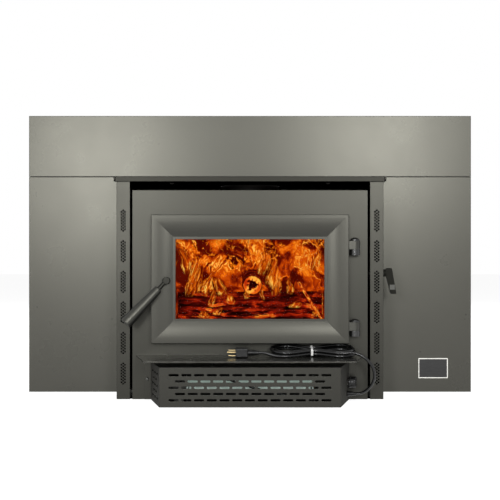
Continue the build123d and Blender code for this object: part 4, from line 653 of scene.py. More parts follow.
def turned_solid(profile, sides, reach_at):
    """A solid turned about Z from pairs of reach and height; reach_at gives the real reach at each angle."""
    points = [Vector((0, 0, profile[0][1]))]
    for ring, (reach, height) in enumerate(profile):
        for turn in range(sides):
            angle = 2 * pi * turn / sides
            real = reach_at(ring, angle, reach)
            points.append(Vector((real * cos(angle), real * sin(angle), height)))
    points.append(Vector((0, 0, profile[-1][1])))
    last = 1 + (len(profile) - 1) * sides
    faces = [(0, 1 + (turn + 1) % sides, 1 + turn) for turn in range(sides)]
    faces += join_grid(len(profile), sides, round_across=True, start=1)
    faces += [(last + turn, last + (turn + 1) % sides, len(points) - 1) for turn in range(sides)]
    return points, faces


def loose_solids(node):
    """The separate solids of a CAD node, each as a list of its points."""
    work = bmesh.new()
    work.from_mesh(NODES[node].data)
    bmesh.ops.remove_doubles(work, verts=work.verts, dist=1e-6)
    seen, solids = set(), []
    for first in work.verts:
        if first in seen:
            continue
        stack, group = [first], []
        seen.add(first)
        while stack:
            vert = stack.pop()
            group.append(vert.co.copy())
            for other in (edge.other_vert(vert) for edge in vert.link_edges):
                if other not in seen:
                    seen.add(other)
                    stack.append(other)
        solids.append(group)
    work.free()
    return solids


def held(value, low, high):
    """The value, kept between two limits."""
    return min(max(value, low), high)


# ---------------------------------------------------------------- geometry trees
def geometry_tree(name, inputs):
    """A new geometry tree: its wiring, what it is given, and the identifiers of its inputs."""
    tree = bpy.data.node_groups.new(name, "GeometryNodeTree")
    identifiers = {}
    entries = [("Geometry", "NodeSocketGeometry", None), *inputs, ("Finish", "NodeSocketMaterial", None)]
    for label, kind, value in entries:
        socket = tree.interface.new_socket(name=label, in_out="INPUT", socket_type=kind)
        if value is not None:
            socket.default_value = value
        identifiers[label] = socket.identifier
    tree.interface.new_socket(name="Geometry", in_out="OUTPUT", socket_type="NodeSocketGeometry")
    wiring = Wiring(tree)
    return wiring, wiring.given(), identifiers


def grown(piece, tree, values):
    """Runs a geometry tree on a piece, and keeps the result as its plain mesh."""
    modifier = piece.modifiers.new("grow", "NODES")
    modifier.node_group = tree
    for identifier, value in values.items():
        modifier[identifier] = value
    graph = bpy.context.evaluated_depsgraph_get()
    mesh = bpy.data.meshes.new_from_object(piece.evaluated_get(graph), preserve_all_data_layers=True,
                                           depsgraph=graph)
    piece.modifiers.remove(modifier)
    old, piece.data = piece.data, mesh
    bpy.data.meshes.remove(old)
    return piece


# ---------------------------------------------------------------- camera and stage
class INSERT_OT_camera(bpy.types.Operator):
    """Camera at the height of the door, looking straight at the wall"""
    bl_idname = "insert.camera"
    bl_label = "Camera"

    def execute(self, context):
        stage = context.scene.insert_stage
        data = bpy.data.cameras.new("Camera")
        data.lens, data.sensor_width, data.sensor_fit, data.clip_end = stage.lens, 36.0, "HORIZONTAL", 100
        camera = linked("Camera", data)
        camera.location = (0, -stage.camera_distance, stage.camera_height)
        camera.rotation_euler = (pi / 2, 0, 0)
        context.scene.camera = camera
        return {"FINISHED"}


def by_ray(wiring, other, seen):
    """One shader for rays from the camera, a glossy surface or clear glass, and another for the rest."""
    ray = {socket.name: Signal(wiring, socket) for socket in wiring.add("ShaderNodeLightPath").outputs}
    shown = ray["Is Camera Ray"].most(ray["Is Glossy Ray"].most(ray["Is Transmission Ray"]))
    return wiring.make("ShaderNodeMixShader", {}, shown, other, seen)


def pale_backing(name, shade=0.55, white=0.90):
    """Pale matt surface that shows white in the picture and keeps the shadow."""
    wiring = new_finish(name)
    matt = wiring.make("ShaderNodeBsdfDiffuse", Color=(shade, shade, shade))
    light = wiring.make("ShaderNodeEmission", Color=(1, 1, 1), Strength=white)
    lit = wiring.make("ShaderNodeAddShader", {}, matt, light)
    wiring.add("ShaderNodeOutputMaterial", Surface=by_ray(wiring, matt, lit))
    return wiring.material


class INSERT_OT_stage(bpy.types.Operator):
    """Pale floor, plain room light, two softboxes and a strip before the front and three softboxes behind"""
    bl_idname = "insert.stage"
    bl_label = "Stage"

    def execute(self, context):
        stage = context.scene.insert_stage
        steps, radius = 96, 14.0
        angles = [2 * pi * step / steps for step in range(steps)]
        points = [(0, 0, 0)] + [(radius * cos(angle), radius * sin(angle), 0) for angle in angles]
        faces = [(0, 1 + step, 1 + (step + 1) % steps) for step in range(steps)]
        new_piece("floor", points, faces, pale_backing("Pale floor"), flat=True)
        world = bpy.data.worlds.new("Room")
        world.use_nodes = True
        world.node_tree.nodes.clear()
        wiring = Wiring(world.node_tree)
        room = wiring.make("ShaderNodeBackground", Color=(1, 1, 1), Strength=stage.fill)
        white = wiring.make("ShaderNodeBackground", Color=(1, 1, 1), Strength=1.0)
        wiring.add("ShaderNodeOutputWorld", Surface=by_ray(wiring, room, white))
        context.scene.world = world
        key, side = stage.key_power, stage.side_power
        lamps = [  # name, place, target, width, depth and power
            ("Left softbox", (-0.89, -3.81, 0.90), (-0.2, 0, 0.4), 0.57, 0.9, key),
            ("Right softbox", (0.75, -3.81, 1.03), (0.2, 0, 0.4), 0.57, 0.8, key * 0.94),
            ("Front overhead strip", (0.0, -3.1, 2.35), (0, 0, 0.35), 2.0, 0.5, key * 0.5),
            ("Left rear softbox", (-2.6, 2.6, 1.9), (-0.1, 0.3, 0.3), 1.6, 1.2, side * 1.5),
            ("Right rear softbox", (2.6, 2.6, 1.9), (0.1, 0.3, 0.3), 1.6, 1.2, side * 1.5),
            ("Top softbox", (0.0, 1.3, 2.6), (0, 0.2, 0.3), 2.6, 1.8, side * 0.4),
        ]
        for name, place, target, wide, deep, power in lamps:
            data = bpy.data.lights.new(name, "AREA")
            data.shape, data.size, data.size_y, data.energy = "RECTANGLE", wide, deep, power
            lamp = linked(name, data)
            lamp.location, lamp.rotation_mode, lamp.visible_camera = place, "QUATERNION", False
            lamp.rotation_quaternion = (Vector(target) - Vector(place)).to_track_quat("-Z", "Y")
        context.scene.view_settings.view_transform = "Standard"
        return {"FINISHED"}


# ---------------------------------------------------------------- mains lead
LEAD_OUT = [
    (0.2492, -0.2019, 0.0190), (0.2610, -0.2048, 0.0195), (0.2718, -0.2076, 0.0248),
    (0.2808, -0.2116, 0.0335), (0.2878, -0.2178, 0.0440), (0.2915, -0.2260, 0.0560),
    (0.2912, -0.2310, 0.0690), (0.2880, -0.2350, 0.0830), (0.2806, -0.2375, 0.0950),
    (0.2700, -0.2382, 0.1062), (0.2560, -0.2377, 0.1150), (0.2400, -0.2366, 0.1190),
    (0.2245, -0.236065, 0.117523), (0.2120, -0.236065, 0.117523),
]
LEAD_TAIL = [
    (0.0800, -0.23468, 0.11005), (0.0700, -0.23468, 0.11005), (0.0585, -0.2342, 0.1114),
    (0.0455, -0.2325, 0.1156), (0.0330, -0.2310, 0.1183), (0.0210, -0.2310, 0.1183),
]
# The hank leans back on the face plate: the middle of its lower layer, its lean, where its turns end and
# how far its upper layer is.
HANK_MIDDLE = Vector((0.0, -0.1983, 0.116793))
HANK_LEAN = radians(10.5)
HANK_ENDS = (0.087, 0.2125)
HANK_LAYER = 0.0076
# Each run of the hank: where it ends, how far it lies from the middle line, how far at the waist, its layer.
HANK_RUNS = [
    (0, -0.037, -0.015, HANK_LAYER), (1, 0.037, 0.015, HANK_LAYER), (0, -0.027, -0.005, HANK_LAYER),
    (1, 0.027, 0.005, 0), (0, -0.027, -0.005, 0), (1, 0.037, 0.015, 0), (0, -0.037, -0.015, 0),
]


def on_hank(x, offset, layer):
    """A point of the hank from its place across, its offset up the slope and its layer."""
    up = Vector((0, cos(HANK_LEAN), sin(HANK_LEAN)))
    out = Vector((0, -sin(HANK_LEAN), cos(HANK_LEAN)))
    return HANK_MIDDLE + Vector((x, 0, 0)) + up * offset + out * layer


def hank_points():
    """The turns of the hank, drawn in at the tie."""
    points, layer = [], HANK_LAYER
    for number, (end, offset, waist, end_layer) in enumerate(HANK_RUNS):
        start_x, end_x = HANK_ENDS[1 - end], HANK_ENDS[end]
        for share in (0.0, 0.14, 0.30, 0.42, 0.50, 0.58, 0.70, 0.86, 1.0):
            ease = abs(2 * share - 1)
            ease = ease * ease * (3 - 2 * ease)
            points.append(on_hank(start_x + (end_x - start_x) * share, waist + (offset - waist) * ease,
                                  layer + (end_layer - layer) * share * share * (3 - 2 * share)))
        if number + 1 < len(HANK_RUNS):
            following = HANK_RUNS[number + 1][1]
            half, middle = (offset - following) / 2 * 1.03, (following + offset) / 2
            away = abs(half) * (1 if end else -1)
            for angle in (pi * step / 6 for step in range(1, 6)):
                points.append(on_hank(end_x + away * sin(angle), middle + half * cos(angle), end_layer))
        layer = end_layer
    return points


class INSERT_OT_lead(bpy.types.Operator):
    """Mains lead from the strain relief, round the hank on the ash lip, to the plug"""
    bl_idname = "insert.lead"
    bl_label = "Mains lead"

    def execute(self, context):
        diameter = context.scene.insert_lead.diameter
        data = bpy.data.curves.new("mains_lead", "CURVE")
        data.dimensions, data.use_fill_caps = "3D", True
        data.bevel_depth, data.bevel_resolution, data.resolution_u = diameter / 2, 5, 8
        points = LEAD_OUT + hank_points() + LEAD_TAIL
        spline = data.splines.new("NURBS")
        spline.points.add(len(points) - 1)
        for target, point in zip(spline.points, points):
            target.co = (*point, 1.0)
        spline.order_u, spline.use_endpoint_u = 3, True
        lead = linked("mains_lead", data)
        data.materials.append(finish("rubber"))
        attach(lead, INSERT)
        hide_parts("cord_lead", "cord_hank", "cord_tail")
        return {"FINISHED"}


# ---------------------------------------------------------------- fire
FLAME_STOPS = [(0.0, (0.020, 0.0006, 0.0002)), (0.18, (0.12, 0.005, 0.0008)), (0.38, (0.36, 0.028, 0.0012)),
               (0.60, (0.66, 0.085, 0.002)), (0.80, (0.93, 0.23, 0.007)), (1.0, (1.0, 0.60, 0.10))]
COAL_STOPS = [(0.0, (0.004, 0.0003, 0.0002)), (0.22, (0.060, 0.002, 0.0008)), (0.48, (0.25, 0.009, 0.002)),
              (0.72, (0.52, 0.033, 0.003)), (0.88, (0.88, 0.15, 0.008)), (1.0, (1.0, 0.46, 0.05))]


def charcoal(wiring, heat, soot, relief, depth, roughness):
    """Black charcoal that glows where it is hot."""
    return wiring.finished(
        Base_Color=soot.mix((0.0008, 0.0006, 0.0005), (0.003, 0.002, 0.0015)), Specular_IOR_Level=0.0,
        Emission_Color=heat.ramp(COAL_STOPS), Emission_Strength=bpy.context.scene.insert_fire.glow,
        Roughness=roughness, Normal=relief.bump(*depth))


def glowing_log(name):
    """Charred log: cracks above, long red streaks below; cut ends burn as rings and thin sticks glow."""
    wiring = new_finish(name)
    place, core = wiring.place(), wiring.make("ShaderNodeAttribute", {"attribute_name": "core"}, output="Fac")
    bent = place.moved(place.noise(30.0, 3.0, colour=True).scaled(0.016))
    heat = bent.noise(17.0, 4.0, 0.6, 0.6)
    hot = heat.remap(0.38, 0.64)
    crack = bent.stretch(210, 210, 34).noise(1.0, 3.0, 0.6).contour(0.50, 0.05)
    level = bent.stretch(20, 60, 130).noise(1.0, 5.0, 0.62, 0.5)
    streak = level.remap(0.36, 0.66)
    ember = level.contour(0.55, 0.035) * heat.remap(0.48, 0.62)
    above = (crack * (hot * 0.55 + 0.25)).most(hot * (streak * 0.30 + 0.10))
    below = ember * 0.45 + streak * (hot * 0.45 + 0.42)
    total = (place.noise(9.0, 2.0) * 0.05 + place.parts()[2]).remap(0.272, 0.250).mix(above, below)
    ends = core < 1.5
    ragged = core + place.noise(130.0).remap(0.3, 0.7, -0.22, 0.22)
    ring = ragged.remap(0.40, 0.60) * ends * heat.remap(0.30, 0.60, 0.62, 1.0)
    total = (total * (ends * ragged.remap(0.58, 0.34) * -0.8 + 1.0)).most(ring)
    lit = wiring.lay().stretch(1.5, 0.5, 1.0).noise().remap(0.38, 0.60, 0.40, 0.98)
    total = total.most((core > 2.5) * lit).clamped()
    fibre = place.stretch(30, 170, 240).noise(1.0, 4.0, 0.65, 0.4)
    return charcoal(wiring, total, fibre, level - crack, (0.9, 0.0025), 0.9)


def glowing_coal(name):
    """Lumps of charcoal, red on their faces and bright orange low down and between them."""
    wiring = new_finish(name)
    place = wiring.place()
    cells = place.stretch(34, 60, 110).noise(1.0, 4.0, 0.62, 0.5)
    cracks = place.stretch(90, 150, 260).noise(1.0, 4.0, 0.65, 0.6)
    spark = cells.contour(0.53, 0.022) * cracks.remap(0.42, 0.62)
    heat = (cells.remap(0.34, 0.68) * cracks.remap(0.36, 0.62, 0.40, 1.05) + spark * 0.5).clamped()
    return charcoal(wiring, heat, cells, cracks, (0.7, 0.0012), 0.95)


def flame_light(wiring, heat, alpha=None):
    """Light of the flames on a shader that neither reflects nor shines."""
    return wiring.finished(
        Emission_Color=heat.ramp(FLAME_STOPS), Emission_Strength=bpy.context.scene.insert_fire.brightness,
        Base_Color=(0, 0, 0), Specular_IOR_Level=0.0, Roughness=1.0, Alpha=alpha)


def flame_sheet_finish(name, seed, warmth, cover, scale=1.0):
    """A sheet of fire: drawn-up noise with bright threads; clear between them if it covers little."""
    wiring = new_finish(name)
    rise = wiring.lay().parts()[1]
    spot = wiring.lay().moved((seed * 3.7, seed * 1.9, seed * 0.7))
    moved = spot.moved(spot.stretch(3.4 * scale, 2.4 * scale, 1.0).swirl(1.0, 3.0, 0.55).scaled(0.62 / scale))
    body = moved.stretch(4.6 * scale, 2.5 * scale, 1.0).noise(1.0, 4.0, 0.55, 0.8)
    small = moved.stretch(12.0 * scale, 6.2 * scale, 1.0).noise(1.0, 4.0, 0.6, 0.7)
    hollow = spot.stretch(3.2 * scale, 2.9 * scale, 1.0).noise(1.0, 3.0, 0.5, 0.6)
    fire = body.remap(0.38, 0.64) * 0.46 + small.remap(0.36, 0.64) * 0.20
    fire = fire + body.contour(0.50, 0.040) * 0.42 + small.contour(0.52, 0.042) * 0.24
    fire = fire * hollow.remap(0.42, 0.56, 0.14, 1.04) * rise.remap(0.30, 0.80, 0.62, 1.04)
    fire = (fire + warmth).clamped()
    return flame_light(wiring, fire, fire.remap(0.78 - cover * 0.4, 1.0 - cover * 0.4) if cover < 1 else None)


def tongue_finish(name):
    """A single tongue: clear in the middle, bright along its edges, fading towards the tip."""
    wiring = new_finish(name)
    spot = wiring.lay()
    across, rise, _ = spot.parts()
    ripple = spot.stretch(4.0, 3.0, 1.0).noise(1.0, 4.0, 0.6, 0.8)
    edge = abs(across.fraction() * 2.0 + -1.0) + ripple.remap(0.3, 0.7, -0.60, 0.60)
    rim = edge.remap(0.50, 0.80) * edge.remap(1.06, 0.84)
    heat = rim * 0.28 + ripple.remap(0.32, 0.68, 0.42, 0.86)
    fade = rise.remap(1.0, 0.50) * edge.remap(1.08, 0.78) * rise.remap(0.02, 0.26)
    solid = rim * 0.22 + ripple.remap(0.40, 0.62, 0.08, 0.62)
    return flame_light(wiring, (heat * rise.remap(1.0, 0.15, 0.65, 1.0)).clamped(), fade * solid)


def log_frame(points):
    """Middle, direction, ends and radius of the round solid that these points belong to."""
    middle = sum(points, Vector()) / len(points)
    far = max(points, key=lambda p: (p - middle).length)
    if abs(far.x - middle.x) > abs(far.y - middle.y):
        direction = Vector((1, 0, 0))
    else:
        front = [p for p in points if p.y < middle.y]
        back = [p for p in points if p.y >= middle.y]
        direction = (sum(back, Vector()) / len(back) - sum(front, Vector()) / len(front)).normalized()
    along = [(p - middle).dot(direction) for p in points]
    radius = max(((p - middle) - direction * way).length for p, way in zip(points, along)) * cos(pi / 12)
    return middle, direction, min(along), max(along), radius


def rough_log(middle, direction, start, end, radius, seed, kind=2.0, sections=70, sides=56):
    """A burnt log as points, faces, a lay map and how far each point is from the core of a cut end."""
    side = direction.cross(Vector((0, 0, 1))).normalized()
    up = side.cross(direction)
    made, lay, core = [], [], [kind] * ((sections + 1) * sides)
    for section in range(sections + 1):
        share = section / sections
        along = start + (end - start) * share
        taper = 1 - 0.10 * max(0, abs(2 * share - 1) - 0.93) / 0.07
        for turn in range(sides):
            c, s = cos(2 * pi * turn / sides), sin(2 * pi * turn / sides)
            lumps = noise.noise(Vector((along * 9 + seed, c * 1.3, s * 1.3)))
            ridges = abs(noise.noise(Vector((along * 22 + seed * 2, c * 5.5, s * 5.5))))
            reach = radius * taper * (0.925 + 0.065 * lumps - 0.13 * ridges)
            made.append(middle + direction * along + (side * c + up * s) * reach)
            lay.append((along * 62 + seed, turn / sides * 15))
    faces = join_grid(sections + 1, sides, round_across=True)
    dish, steps = 0.0035, [(turn, (turn + 1) % sides) for turn in range(sides)]
    for first, depth, order in ((0, start + dish, -1), (sections * sides, end - dish, 1)):
        centre = middle + direction * depth
        rim, previous = made[first:first + sides], first
        for ring, share in enumerate((0.97, 0.82, 0.66, 0.50, 0.34, 0.16)):
            now = len(made)
            dent = direction * (0.0012 * sin(ring * 2.1 + seed))
            made += [centre + (point - centre) * share + dent for point in rim]
            lay += [(share * 3 + seed, turn / sides * 9) for turn in range(sides)]
            core += [share] * sides
            faces += [(previous + turn, now + turn, now + other, previous + other)[::order]
                      for turn, other in steps]
            previous = now
        faces += [(previous + turn, len(made), previous + other)[::order] for turn, other in steps]
        made.append(centre)
        lay.append((seed, 0))
        core.append(0.0)
    return made, faces, lay, core


# A thin branch that leans on the front log: foot, top and radius.
BRANCH = (Vector((0.181, -0.0785, 0.1815)), Vector((0.1215, -0.0480, 0.2780)), 0.0034)


class INSERT_OT_logs(bpy.types.Operator):
    """Burning logs on the embers"""
    bl_idname = "insert.logs"
    bl_label = "Logs"

    def execute(self, context):
        shapes = [(*log_frame(solid), seed * 5.3 + 1.7, 2.0)
                  for seed, solid in enumerate(loose_solids("logs"))]
        foot, top, radius = BRANCH
        half = (top - foot).length / 2
        shapes.append(((foot + top) / 2, (top - foot).normalized(), -half, half, radius, 0.4, 3.0))
        points, faces, lay, core = [], [], [], []
        for shape in shapes:
            more, joined, spots, cores = rough_log(*shape)
            faces += shifted(joined, len(points))
            points, lay, core = points + more, lay + spots, core + cores
        piece = new_piece("burning_logs", points, faces, glowing_log("Burning log"), lay)
        piece.data.attributes.new("core", "FLOAT", "POINT").data.foreach_set("value", core)
        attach(piece, INSERT)
        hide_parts("logs")
        return {"FINISHED"}


def coal_tree():
    """Geometry nodes: lumps of coal strewn over a bed."""
    wiring, given, identifiers = geometry_tree("Strewn coals", [
        ("Density", VALUE, 5000.0), ("Coal size", VALUE, 0.012), ("Seed", "NodeSocketInt", 7)])
    size = given["Coal size"]
    strewn = wiring.make("GeometryNodeDistributePointsOnFaces", {"distribute_method": "POISSON"},
                         Mesh=given["Geometry"], Distance_Min=size * 0.62, Density_Max=given["Density"],
                         Seed=given["Seed"])
    lump = wiring.make("GeometryNodeMeshIcoSphere", Radius=size, Subdivisions=2)
    push = wiring.make("GeometryNodeInputPosition").swirl(90.0, 2.0).scaled(size * 1.1)
    broken = wiring.make("GeometryNodeSetPosition", Geometry=lump, Offset=push)
    turn = wiring.add("FunctionNodeRandomValue", {"data_type": "FLOAT_VECTOR"}, None, (6.28, 6.28, 6.28),
                      Seed=given["Seed"])
    girth = wiring.add("FunctionNodeRandomValue", {"data_type": "FLOAT_VECTOR"}, (0.45, 0.35, 0.35),
                       (1.25, 0.9, 0.75), Seed=11)
    laid = wiring.make("GeometryNodeInstanceOnPoints", Points=strewn, Instance=broken,
                       Rotation=Signal(wiring, turn.outputs[0]), Scale=Signal(wiring, girth.outputs[0]))
    both = wiring.add("GeometryNodeJoinGeometry", {}, given["Geometry"])
    wiring.put(both.inputs[0], wiring.make("GeometryNodeRealizeInstances", Geometry=laid))
    wiring.add("NodeGroupOutput", {}, wiring.make(
        "GeometryNodeSetMaterial", Geometry=Signal(wiring, both.outputs[0]), Material=given["Finish"]))
    return wiring.tree, identifiers


class INSERT_OT_embers(bpy.types.Operator):
    """Bed of ash with glowing coals strewn over it"""
    bl_idname = "insert.embers"
    bl_label = "Ember bed"

    def execute(self, context):
        fire = context.scene.insert_fire
        low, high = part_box("ember_bed")
        columns, rows, inset, slope, crown = 60, 44, 0.004, 0.022, 0.0145
        floor = low.z + 0.0002
        grid = []
        for row in range(rows + 1):
            y = low.y + inset + (high.y - low.y - 2 * inset) * row / rows
            grid.append([])
            for column in range(columns + 1):
                x = low.x + inset + (high.x - low.x - 2 * inset) * column / columns
                rise = min(1.0, min(x - low.x, high.x - x, y - low.y, high.y - y) / slope) ** 0.7
                bumps = noise.noise(Vector((x * 30, y * 30, 3.1))) * 0.004
                grid[-1].append(Vector((x, y, low.z + 0.001 + (crown + bumps) * rise)))
        points, faces = closed_sheet(grid, lambda point: Vector((point.x, point.y, floor)))
        coal = glowing_coal("Glowing coals")
        piece = new_piece("embers", points, faces, coal, flat=True)
        tree, names = coal_tree()
        grown(piece, tree, {names["Density"]: fire.coal_density, names["Coal size"]: fire.coal_size * 0.8,
                            names["Seed"]: 7, names["Finish"]: coal})
        for spot in (vertex.co for vertex in piece.data.vertices):
            spot.x, spot.y = held(spot.x, low.x, high.x), held(spot.y, low.y, high.y)
            spot.z = held(spot.z, floor, high.z - 0.0004)
        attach(piece, INSERT)
        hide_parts("ember_bed")
        return {"FINISHED"}


# How far the tongues of flame may reach: to either side, to the front and to the back.
FLAME_SIDE, FLAME_FRONT, FLAME_BACK = 0.2, -0.085, 0.2


def tongue(base, height, width, lean, seed, rows=22, columns=9):
    """Points and lay map of one tongue of flame, kept inside the firebox."""
    grid, lay = [], []
    turn = noise.noise(Vector((seed, 1.3, 7.7))) * 1.2
    for row in range(rows + 1):
        share = row / rows
        half = width * (sin(pi * min(1.0, share * 0.92 + 0.10)) ** 0.75) * (1 - share * 0.55)
        sway = (noise.noise(Vector((seed * 3.1, share * 2.4, 0.5))) * height * 0.38 * share
                + lean * height * share)
        drift = noise.noise(Vector((seed * 1.7, share * 2.0, 9.5))) * height * 0.20 * share
        reach = Vector((cos(turn * share), sin(turn * share) * 0.6, 0)) * half
        middle = Vector(base) + Vector((sway, drift, height * share))
        line = [middle + reach * (2 * column / columns - 1) for column in range(columns + 1)]
        grid.append([Vector((held(p.x, -FLAME_SIDE, FLAME_SIDE), held(p.y, FLAME_FRONT, FLAME_BACK), p.z))
                     for p in line])
        lay += [(column / columns * 0.98 + 0.01 + int(seed), share) for column in range(columns + 1)]
    return grid, lay


# Each sheet of flame: name, depth, half width, bottom, top, seed, warmth, how much it covers and its scale.
FLAME_SHEETS = [
    ("flame_sheet_rear", 0.228, 0.212, 0.158, 0.3885, 1.0, 0.06, 1.0, 1.0),
    ("flame_sheet_middle", 0.165, 0.206, 0.205, 0.3885, 2.0, 0.0, 0.55, 1.1),
    ("flame_sheet_front", 0.045, 0.196, 0.232, 0.3885, 3.0, 0.0, 0.45, 0.8),
]
# Flames that lick up the front log: x, y and z of the foot, height, half width and lean.
LICKS = [(-0.098, -0.083, 0.212, 0.060, 0.010, 0.1), (-0.084, -0.084, 0.196, 0.024, 0.014, 0.5),
         (-0.046, -0.083, 0.222, 0.036, 0.015, -0.3), (-0.010, -0.084, 0.236, 0.030, 0.009, 0.2),
         (0.034, -0.083, 0.232, 0.052, 0.006, -0.1), (0.108, -0.084, 0.214, 0.022, 0.020, 0.6),
         (0.160, -0.084, 0.192, 0.034, 0.010, 0.2), (-0.110, -0.084, 0.190, 0.022, 0.016, -0.5),
         (0.098, -0.080, 0.246, 0.052, 0.013, 0.1), (-0.152, -0.035, 0.236, 0.092, 0.026, 0.35),
         (-0.108, -0.030, 0.234, 0.084, 0.022, 0.25), (-0.070, -0.035, 0.236, 0.076, 0.018, -0.2),
         (0.062, -0.030, 0.240, 0.066, 0.016, 0.3)]


class INSERT_OT_flames(bpy.types.Operator):
    """Sheets and tongues of flame over the logs"""
    bl_idname = "insert.flames"
    bl_label = "Flames"

    def execute(self, context):
        rows, columns, repeat, ceiling = 46, 80, 0.22, 0.386
        sheet_wall, tongue_wall = Vector((0, 0.0008, 0)), Vector((0, 0.0006, 0))
        for name, depth, half, bottom, top, seed, *looks in FLAME_SHEETS:
            grid, lay = [], []
            for share in (row / rows for row in range(rows + 1)):
                grid.append([])
                for part in (column / columns for column in range(columns + 1)):
                    across = 2 * part - 1
                    sway = noise.noise(Vector((across * 4.0, share * 2.4, seed * 4))) * 0.022
                    grid[-1].append(Vector((half * across, depth + sway, bottom + (top - bottom) * share)))
                    lay.append((part * 2 * half / repeat, share * (top - bottom) / repeat))
            points, faces = closed_sheet(grid, lambda point: point + sheet_wall)
            fire = flame_sheet_finish(name.replace("_", " "), seed, *looks)
            piece = new_piece(name, points, faces, fire, lay + lay)
            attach(piece, INSERT)
        dice = random.Random(41)
        places = list(LICKS)
        for _ in range(context.scene.insert_fire.tongues):
            depth = dice.choice((-0.02, 0.02, 0.06, 0.10, 0.14)) + dice.uniform(-0.012, 0.012)
            foot = 0.250 + dice.uniform(0.0, 0.05)
            places.append((dice.uniform(-0.178, 0.178), depth, foot,
                           min(dice.uniform(0.05, 0.13), ceiling - foot),
                           dice.uniform(0.009, 0.022), dice.uniform(-0.4, 0.4)))
        points, faces, spots = [], [], []
        for index, (x, y, z, height, width, lean) in enumerate(places):
            grid, lay = tongue((x, y, z), height, width, lean, index * 1.37)
            more, joined = closed_sheet(grid, lambda point: point + tongue_wall)
            faces += shifted(joined, len(points))
            points, spots = points + more, spots + lay + lay
        piece = new_piece("flame_tongues", points, faces, tongue_finish("Flame tongue"), spots)
        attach(piece, INSERT)
        return {"FINISHED"}


# ---------------------------------------------------------------- gaskets
def ring_path(half_x, half_z, centre_z, corner, step=0.006):
    """Points round a rounded rectangle in an upright plane, as (x, z, way along)."""
    in_x, in_z = half_x - corner, half_z - corner
    middles = [(in_x, in_z), (-in_x, in_z), (-in_x, -in_z), (in_x, -in_z)]
    points = []
    for quarter, (x, z) in enumerate(middles):
        arc = max(4, int(corner * pi / 2 / step))
        for angle in ((quarter + part / arc) * pi / 2 for part in range(arc + 1)):
            points.append((x + corner * cos(angle), z + corner * sin(angle)))
        following, angle, here = middles[(quarter + 1) % 4], (quarter + 1) * pi / 2, points[-1]
        there = (following[0] + corner * cos(angle), following[1] + corner * sin(angle))
        count = max(2, int(dist(here, there) / step))
        points += [tuple(a + (b - a) * part / count for a, b in zip(here, there)) for part in range(1, count)]
    way, path = 0.0, []
    for here, there in zip(points, points[1:] + points[:1]):
        path.append((here[0], centre_z + here[1], way))
        way += dist(here, there)
    return path


def ring_tube(name, node, corner, width, material, sides=20, squareness=2.4):
    """A soft ring of the section and place of a CAD ring."""
    low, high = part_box(node)
    centre, half = (low + high) / 2, (high - low) / 2
    path = ring_path(half.x - width / 2, half.z - width / 2, centre.z, corner)

    def rounded(value, reach):
        return (abs(value) ** (2 / squareness)) * (1 if value >= 0 else -1) * reach

    points, lay = [], []
    for index, (x, z, way) in enumerate(path):
        before, after = path[index - 1], path[(index + 1) % len(path)]
        tangent = Vector((after[0] - before[0], 0, after[1] - before[1])).normalized()
        outside = Vector((tangent.z, 0, -tangent.x))
        for turn in range(sides):
            angle = 2 * pi * turn / sides
            points.append(Vector((x + centre.x, centre.y + rounded(sin(angle), half.y), z))
                          + outside * rounded(cos(angle), width / 2))
            lay.append((way, turn / sides))
    faces = join_grid(len(path), sides, round_across=True, round_along=True)
    piece = new_piece(name, points, faces, material, lay)
    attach(piece, DOOR)
    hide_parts(node)


class INSERT_OT_gaskets(bpy.types.Operator):
    """Braided rope round the door and woven tape round the glass"""
    bl_idname = "insert.gaskets"
    bl_label = "Gaskets"

    def execute(self, context):
        ring_tube("door_rope", "door_gasket", 0.012, 0.0112, finish("rope"))
        ring_tube("glass_tape", "glass_gasket", 0.006, 0.009, finish("tape"), sides=12, squareness=6)
        return {"FINISHED"}


# ---------------------------------------------------------------- fasteners
def fastener_frames(node):
    """Seat, outward direction, and head and shank radius and length of each round screw in a node."""
    frames = []
    for points in loose_solids(node):
        low, high = (Vector([side(p[axis] for p in points) for axis in range(3)]) for side in (min, max))
        size, middle = high - low, (low + high) / 2
        pairs = [abs(size[(axis + 1) % 3] - size[(axis + 2) % 3]) for axis in range(3)]
        axis = pairs.index(min(pairs))
        direction = Vector([float(other == axis) for other in range(3)])
        reaches = [((p - middle) - direction * (p - middle)[axis]).length for p in points]
        head_radius = max(reaches)
        shank_radius = min(reach for reach in reaches if reach > head_radius * 0.3)
        head = [p for p, reach in zip(points, reaches) if reach > head_radius * 0.98]
        if sum(p[axis] for p in head) / len(head) < middle[axis]:
            direction = -direction
        along = [p.dot(direction) for p in points]
        seat = min(p.dot(direction) for p in head)
        place = middle - direction * middle.dot(direction) + direction * seat
        frames.append((place, direction, head_radius, max(along) - seat, shank_radius, seat - min(along)))
    return frames


def pattern_screw(head_radius, head_height, shank_radius, shank_length, sides=32, lobes=6):
    """A pan-head screw with a six-lobe socket; its seat is at the origin and its head points up."""
    recess, depth = head_radius * 0.48, head_height * 0.62
    outside = [
        (shank_radius * 0.25, -shank_length), (shank_radius * 0.85, -shank_length),
        (shank_radius, -shank_length + 0.0006), (shank_radius, 0.0), (head_radius, 0.0),
        (head_radius, head_height * 0.35), (head_radius * 0.95, head_height * 0.66),
        (head_radius * 0.80, head_height * 0.90), (head_radius * 0.62, head_height),
    ]
    socket = [(recess, head_height), (recess * 0.92, head_height - depth)]
    points, faces = turned_solid(outside + socket, sides, lambda ring, angle, reach: reach * (
        0.86 + 0.14 * cos(lobes * angle) if ring >= len(outside) else 1))
    mesh = bare_mesh("pattern_screw", points, faces)
    mesh.set_sharp_from_angle(angle=radians(35))
    return linked("pattern_screw", mesh)


